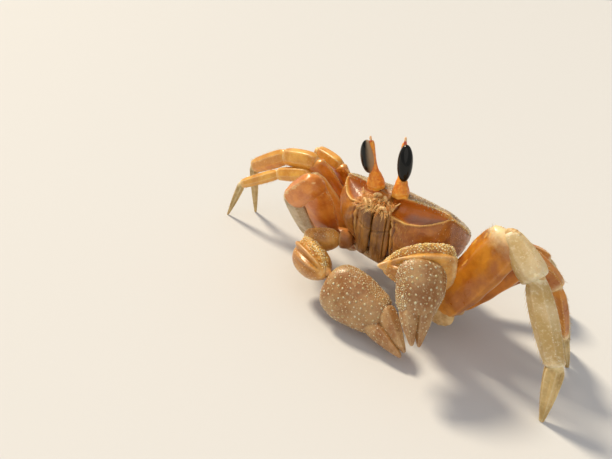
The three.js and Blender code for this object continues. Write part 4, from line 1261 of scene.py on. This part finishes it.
# %% Arms: the two short pieces between the body and the wrist
def build_arm(claw, arm):
    coxa, elbow, knee = (Vector(arm[key]) for key in ("coxa", "elbow", "knee"))
    ischium, place = limb_between(f"{claw}_ischium_shell", RINGS["hip"], coxa, elbow, SKY, 6.2, 5.8)
    finish_piece(ischium, STANDING @ place, "hip", [f"{claw}_ischium"])
    merus, place = limb_between(f"{claw}_merus_shell", RINGS["merus"], elbow, knee, SKY, *arm["merus"], arm_relief,
                                sides=20)
    merus.data.materials.append(FINISHES["claw_arms"])
    upper = (note_of(merus, "back_side") > 0.5) * 0.5
    merus = join_to(merus, [grains_on(merus, "edges", upper, 190, 0.55, 0.17, "gold_grains")])
    finish_piece(merus, STANDING @ place, "claw_arms", [f"{claw}_merus"])


# %% Wrists, with a gritty crest and spines
SPINES = (  # root, way and length, in the wrist's own mm
    ((1.9, -0.4, 0.5), (-1, -0.1, 0.05), 3.5), ((2.8, -1.7, -0.6), (-0.8, -0.5, -0.2), 2.2),
    ((2.2, 0.6, 1.2), (-0.8, 0.2, 0.45), 1.7), ((3.6, -2.4, -1.6), (-0.6, -0.7, -0.4), 1.6),
)


def build_wrist(claw, arm):
    """A hood over the root of the palm: a gritty crest, two smooth lips under it and a spine at its inner end."""
    wrist, place = limb_between(f"{claw}_carpus_shell", RINGS["wrist"], arm["wrist_in"], arm["wrist_out"], SKY,
                                *arm["wrist"], wrist_relief, sides=24, levels=3)
    if claw.endswith("right"):
        mirror(wrist)
    wrist.data.materials.append(FINISHES["claw_arms"])
    top = hill_round(turn_of(wrist), 92, 15)
    along = note_of(wrist, "share")
    parts = [
        grains_on(wrist, "grit", top * (along > 0.05), 420, 0.46, 0.28, "gold_grains", 0.9),
        grains_on(wrist, "sparse", np.full(len(along), 0.08), 160, 0.8, 0.13, "gold_grains"),
    ]
    for at, way, size in SPINES:
        turn, _ = basis(Vector((0, 0, 0)), Vector(way), SKY)
        spine = limb("spine", RINGS["finger"], size, size * 0.95, size * 0.8, sides=10, levels=1)
        spine.data.transform(Matrix.Translation(at) @ turn)
        spine.data.materials.append(FINISHES["claw_arms"])
        parts.append(spine)
    wrist = join_to(wrist, parts)
    finish_piece(wrist, STANDING @ place, "claw_arms", [f"{claw}_carpus"])

# %% Hands: palm, fixed finger and movable finger
FINGER_FOOT = 0.165  # how far from the middle the fingers leave the palm, as a share of its height


def teeth_on(piece, below, count):
    """A row of blunt teeth along the inner edge of a finger."""
    side_of_tooth = -1 if below else 1
    places, ways, along = points_of(piece), normals_of(piece), note_of(piece, "share")
    weights = (note_of(piece, "back_side") * side_of_tooth > 0.97) * (along > 0.2) * (along < 0.9) * 1.0
    roots = spaced(places, weights, count, 0.75)
    wide = 0.52 * (1.15 - along[roots]) * chance.uniform(0.8, 1.1, len(roots))
    return many("teeth", "dome", places[roots], ways[roots], np.stack([wide, wide * 1.2], 1), "claw_teeth")


def finger(name, start, end, up, arm, droop, pearls_end, pearls, pearl, below):
    """A finger with teeth along its inner edge and pearls near its root."""
    piece, place = limb_between(name, RINGS["finger"], start, end, up, *arm["finger"], finger_relief, droop=droop)
    piece.data.materials.append(FINISHES["claws"])
    root = soft_drop(note_of(piece, "share"), *pearls_end) * 0.5
    teeth = teeth_on(piece, below, 9)
    return join_to(piece, [teeth, grains_on(piece, "pearls", root, pearls, 0.95, pearl, "pearls", 0.45)]), place


def build_hand(claw, arm):
    start, end, tip, up = (Vector(arm[key]) for key in ("palm_start", "palm_end", "tip", "up"))
    palm, palm_place = limb_between(f"{claw}_palm_shell", RINGS["palm"], start, end, up, *arm["palm"], palm_relief,
                                    sides=24, levels=3)
    palm_up, palm_way = palm_place.to_3x3() @ SKY, (end - start).normalized()
    foot = palm_up * arm["palm"][0] * FINGER_FOOT
    fixed, place = finger("fixed", end - foot - palm_way * 4.0, tip - palm_up * 0.5, palm_up, arm, 0.2, (0.5, 0.85),
                          60, 0.22, False)
    fixed.data.transform(palm_place.inverted() @ place)
    palm.data.materials.append(FINISHES["claws"])
    along, back, many_times = note_of(palm, "share"), note_of(palm, "back_side"), arm["pearls"]
    inside = (along > 0.03) * (along < 0.97) * 1.0
    palm = join_to(palm, [
        grains_on(palm, "pearls", inside * 0.5, int(170 * many_times), 1.3, 0.33, "pearls", 0.42),
        grains_on(palm, "fine", inside * soft_step(back, 0.55, 0.98), int(300 * many_times), 0.45, 0.17, "pearls", 0.6),
        grains_on(palm, "keel", inside * (back < -0.94), int(110 * many_times), 0.42, 0.15, "pearls", 0.7),
        fixed,
    ])
    finish_piece(palm, STANDING @ palm_place, "claws", [f"{claw}_palm"])
    moving, place = finger(f"{claw}_dactyl_shell", end + foot - palm_way * 2.0, tip + palm_up * 0.6, palm_up, arm,
                           -0.4, (0.4, 0.8), 50, 0.21, True)
    finish_piece(moving, STANDING @ place, "claws", [f"{claw}_dactyl"])


# %% Both claws
for name, arm in ARMS.items():
    for build in (build_arm, build_wrist, build_hand):
        build(f"cheliped_{name}", arm)
print("claws made")

# %% [markdown]
# ## Mouthparts and feelers
# Two long plates, the outer foot-jaws, close the mouth like doors. Each has a seam across it, a groove along it
# and a small three-part feeler, the palp, folded at its top corner. Between the eyes sit the folded first
# feelers and the short, whip-like second feelers.

# %% Mouth plates
DOOR = [
    (0, 0.45, 0.5), (0.03, 0.62, 0.72), (0.1, 0.84, 0.92), (0.24, 0.98, 1.0), (0.4, 1.0, 1.0), (0.55, 1.0, 0.98),
    (0.72, 0.94, 0.94), (0.88, 0.78, 0.82), (0.96, 0.55, 0.62), (1, 0.36, 0.42),
]
JAW_TOP, JAW_LOW, JAW_SIZE = (3.2, -19.8, -6.8), (3.2, -12.3, -20.8), (2.8, 6.1)


def door_relief(along, turn, places):
    """Ridges of a plate on the crab's left; the right one is its mirror image."""
    front, outer = soft_step(turn, 0, 25), places[:, 1]
    seam = hill(along + 0.02 * outer, 0.4, 0.012)
    folds = np.sin(outer * 5.2 + 0.5 * np.sin(along * 9)) * inner(along)
    branch = hill(outer, 1.75, 0.17) * soft_step(along, 0.02, 0.08) * soft_drop(along, 0.88, 0.97)
    groove = hill(outer, -0.5, 0.35) * soft_step(along, 0.44, 0.52) * soft_drop(along, 0.8, 0.92)
    ridge = hill(outer, 0.9, 0.4) + 0.7 * hill(outer, -1.6, 0.45) + 0.6 * hill(outer, 2.35, 0.3)
    return front * (0.07 * folds + 0.16 * ridge - 0.35 * seam - 0.55 * branch - 0.22 * groove)


for name, side in SIDES.items():
    top, low = (side * JAW_TOP[0], *JAW_TOP[1:]), (side * JAW_LOW[0], *JAW_LOW[1:])
    door, place = limb_between(f"maxilliped_{name}_shell", DOOR, top, low, (side * 0.2, -1, 0), *JAW_SIZE, door_relief,
                               sides=24, levels=3)
    if side < 0:
        mirror(door)
    door.data.materials.append(FINISHES["mouthparts"])
    finish_piece(door, BODY @ place, "mouthparts", [f"maxilliped_{name}"])


# %% Palps and feelers: short tapering tubes bent along a few points
def bent_tube(name, stops, widths, finish):
    """A tapering tube through a few stops, made as a curve with a round section and turned into a mesh."""
    line = bpy.data.curves.new(name, "CURVE")
    line.dimensions, line.bevel_depth, line.bevel_resolution = "3D", 1.0, 3
    line.use_fill_caps, line.resolution_u = True, 6
    spline = line.splines.new("NURBS")
    spline.points.add(len(stops) - 1)
    spline.order_u, spline.use_endpoint_u = 3, True
    for point, stop, width in zip(spline.points, stops, widths):
        point.co, point.radius = (*stop, 1), width / 2
    piece = bpy.data.objects.new(name, line)
    bpy.context.scene.collection.objects.link(piece)
    clear_selection()
    piece.select_set(True)
    bpy.context.view_layer.objects.active = piece
    bpy.ops.object.convert(target="MESH")
    bpy.ops.object.shade_smooth()
    places = points_of(piece)
    note(piece, "grain", places)
    note(piece, "share", np.linspace(0, 1, len(places)))
    note(piece, "back_side", np.zeros(len(places)))
    piece.data.materials.clear()
    piece.data.materials.append(FINISHES[finish])
    return piece


STRIPS = [  # stops on the crab's left in body mm, then the width at each stop
    (((4.5, -19.8, -7.4), (4.2, -20.6, -6.5), (3.2, -20.9, -6.4), (2.3, -20.9, -7.3), (1.7, -20.7, -8.6)),
     (1.3, 1.4, 1.2, 0.9, 0.4)),
    (((2.7, -19.8, -6.4), (2.1, -20.5, -6.0), (1.2, -20.8, -6.6), (0.8, -20.7, -7.9)), (1.1, 1.0, 0.8, 0.35)),
    (((4.4, -18.8, -6.1), (5.1, -19.5, -5.7), (5.9, -19.5, -6.3)), (1.2, 1.4, 0.7)),
    (((5.2, -18.6, -5.6), (5.8, -19.5, -5.0), (6.5, -19.8, -4.3), (7.2, -19.9, -3.3)), (0.8, 0.65, 0.5, 0.3)),
    (((0.9, -18.3, -3.5), (1.4, -19.4, -3.4), (2.3, -19.6, -4.2), (1.9, -19.9, -5.4)), (1.2, 1.3, 1.0, 0.5)),
    (((2.3, -17.9, -4.6), (3.0, -18.9, -4.6), (3.5, -19.3, -5.6)), (1.0, 1.0, 0.5)),
    (((0.5, -19.2, -5.2), (0.8, -20.1, -5.1), (1.3, -20.3, -5.7)), (0.8, 1.1, 0.6)),
]


def jointed(stops, widths):
    """Adds a full middle between every two stops and draws in the stops, so that the tube looks jointed."""
    pairs = list(zip(stops, widths))
    bent, full = [pairs[0][0]], [pairs[0][1] * 0.8]
    for (a, wide_a), (b, wide_b) in zip(pairs, pairs[1:]):
        bent += [tuple((p + q) / 2 for p, q in zip(a, b)), b]
        full += [(wide_a + wide_b) / 2 * 1.05, wide_b * 0.62]
    return bent, full


feelers = []
for side in (1, -1):
    for stops, widths in STRIPS:
        shake = chance.normal(0, 0.12, (len(stops), 3))
        bent = [(side * (x + a), y + b, z + c) for (x, y, z), (a, b, c) in zip(stops, shake)]
        feelers.append(bent_tube("palp", *jointed(bent, widths), "palps"))
    feelers.append(bent_tube("lip", [
        (side * 0.3, -19.2, -6.2), (side * 2.0, -19.6, -6.6), (side * 3.8, -19.3, -6.7), (side * 5.4, -18.6, -7.3),
    ], (0.7, 0.9, 0.8, 0.5), "mouthparts"))

# %% The narrow front between the eye sockets, which the feelers fold against
front = body_form("front", RINGS["hip"], (0, -16.7, -2.4), (0, -18.6, -7.4), (0, -1, 0), 3.0, 6.6, "mouthparts")
feelers.append(front)

# %% Hairs of the mouth: two brushes that hang from the palps
HAIRS = 480
roots = np.stack([
    chance.uniform(-5.8, 5.8, HAIRS), chance.normal(-20.2, 0.3, HAIRS), chance.uniform(-8.6, -4.0, HAIRS),
], 1)
roots[:, 1] += 0.2 * (roots[:, 2] + 5)
ways = np.stack([
    0.16 * roots[:, 0] + chance.normal(0, 0.3, HAIRS), np.full(HAIRS, -0.55), chance.normal(-0.5, 0.4, HAIRS),
], 1)
sizes = np.stack([np.full(HAIRS, 0.1), chance.uniform(0.7, 2.0, HAIRS)], 1)
patch_row, patch_column = np.divmod(np.arange(HAIRS), 270)
patches = np.stack([0.02 + 0.0035 * patch_column, 0.95 + 0.004 * patch_row], 1)
hairs = many("mouth_hairs", "spike", roots, ways, sizes, "mouth_bristles", bend=0.3, lean=ways * [[0.3, 0, 1]],
             patches=patches)
finish_piece(hairs, BODY, "bristles")
feelers[0].name = feelers[0].data.name = "mouth_feelers"
mouth = join_to(feelers[0], feelers[1:])
finish_piece(mouth, BODY, "palps")
print("mouthparts made")

# %% [markdown]
# ## Floor, light and camera
# A pale floor and large soft lamps show the shell plainly. One warm lamp stands high behind the crab's right, so
# that it grazes the raised edges, as low sun does on a beach. The camera looks down at the crab's left front.

# %% Floor and lamps
clear_selection()
bpy.ops.mesh.primitive_plane_add(size=60.0, location=(0, 0, -0.0002))
floor = bpy.context.object
floor.name = "studio_floor"
material = bpy.data.materials.new("pale_floor")
material.use_nodes = True
shader = material.node_tree.nodes["Principled BSDF"]
shader.inputs["Base Color"].default_value = tone("d2d5dc")
shader.inputs["Roughness"].default_value = 0.8
floor.data.materials.append(material)


def sun(name, place, softness, strength, colour):
    """A lamp so far off that it lights the whole floor evenly. The softness is its width in radians."""
    light = bpy.data.lights.new(name, "SUN")
    light.angle, light.energy, light.color = softness, strength, tone(colour)[:3]
    holder = bpy.data.objects.new(name, light)
    bpy.context.scene.collection.objects.link(holder)
    holder.location = place
    holder.rotation_euler = (-Vector(place)).to_track_quat("-Z", "Y").to_euler()


sun("warm_key", (-0.31, -0.04, 0.36), 0.22, 3.3, "ffedcc")
sun("soft_fill", (0.3, -0.35, 0.4), 1.2, 0.6, "fff6ea")
world = bpy.data.worlds.new("pale_room")
bpy.context.scene.world = world
world.use_nodes = True
world.node_tree.nodes["Background"].inputs[0].default_value = tone("f2efe9")
world.node_tree.nodes["Background"].inputs[1].default_value = 0.5
bpy.context.scene.view_settings.view_transform = "Standard"

# %% Camera
camera_data = bpy.data.cameras.new("camera")
camera_data.lens, camera_data.sensor_width = 30.0, 36.0
camera_data.clip_start, camera_data.clip_end = 0.005, 100
camera = bpy.data.objects.new("camera", camera_data)
bpy.context.scene.collection.objects.link(camera)
camera_axes = (0.6028, 0.7916, 0.1002), (-0.4214, 0.2091, 0.8824), (0.6776, -0.5742, 0.4596)  # right, up, back
camera_place = BACK + Vector((88.2, -119.31, 61.71))
camera.matrix_world = Matrix.Translation(camera_place * MM) @ Matrix(camera_axes).transposed().to_4x4()
bpy.context.scene.camera = camera

# %% Clear away the models that were copied
for model in MODELS.values():
    bpy.data.objects.remove(model)
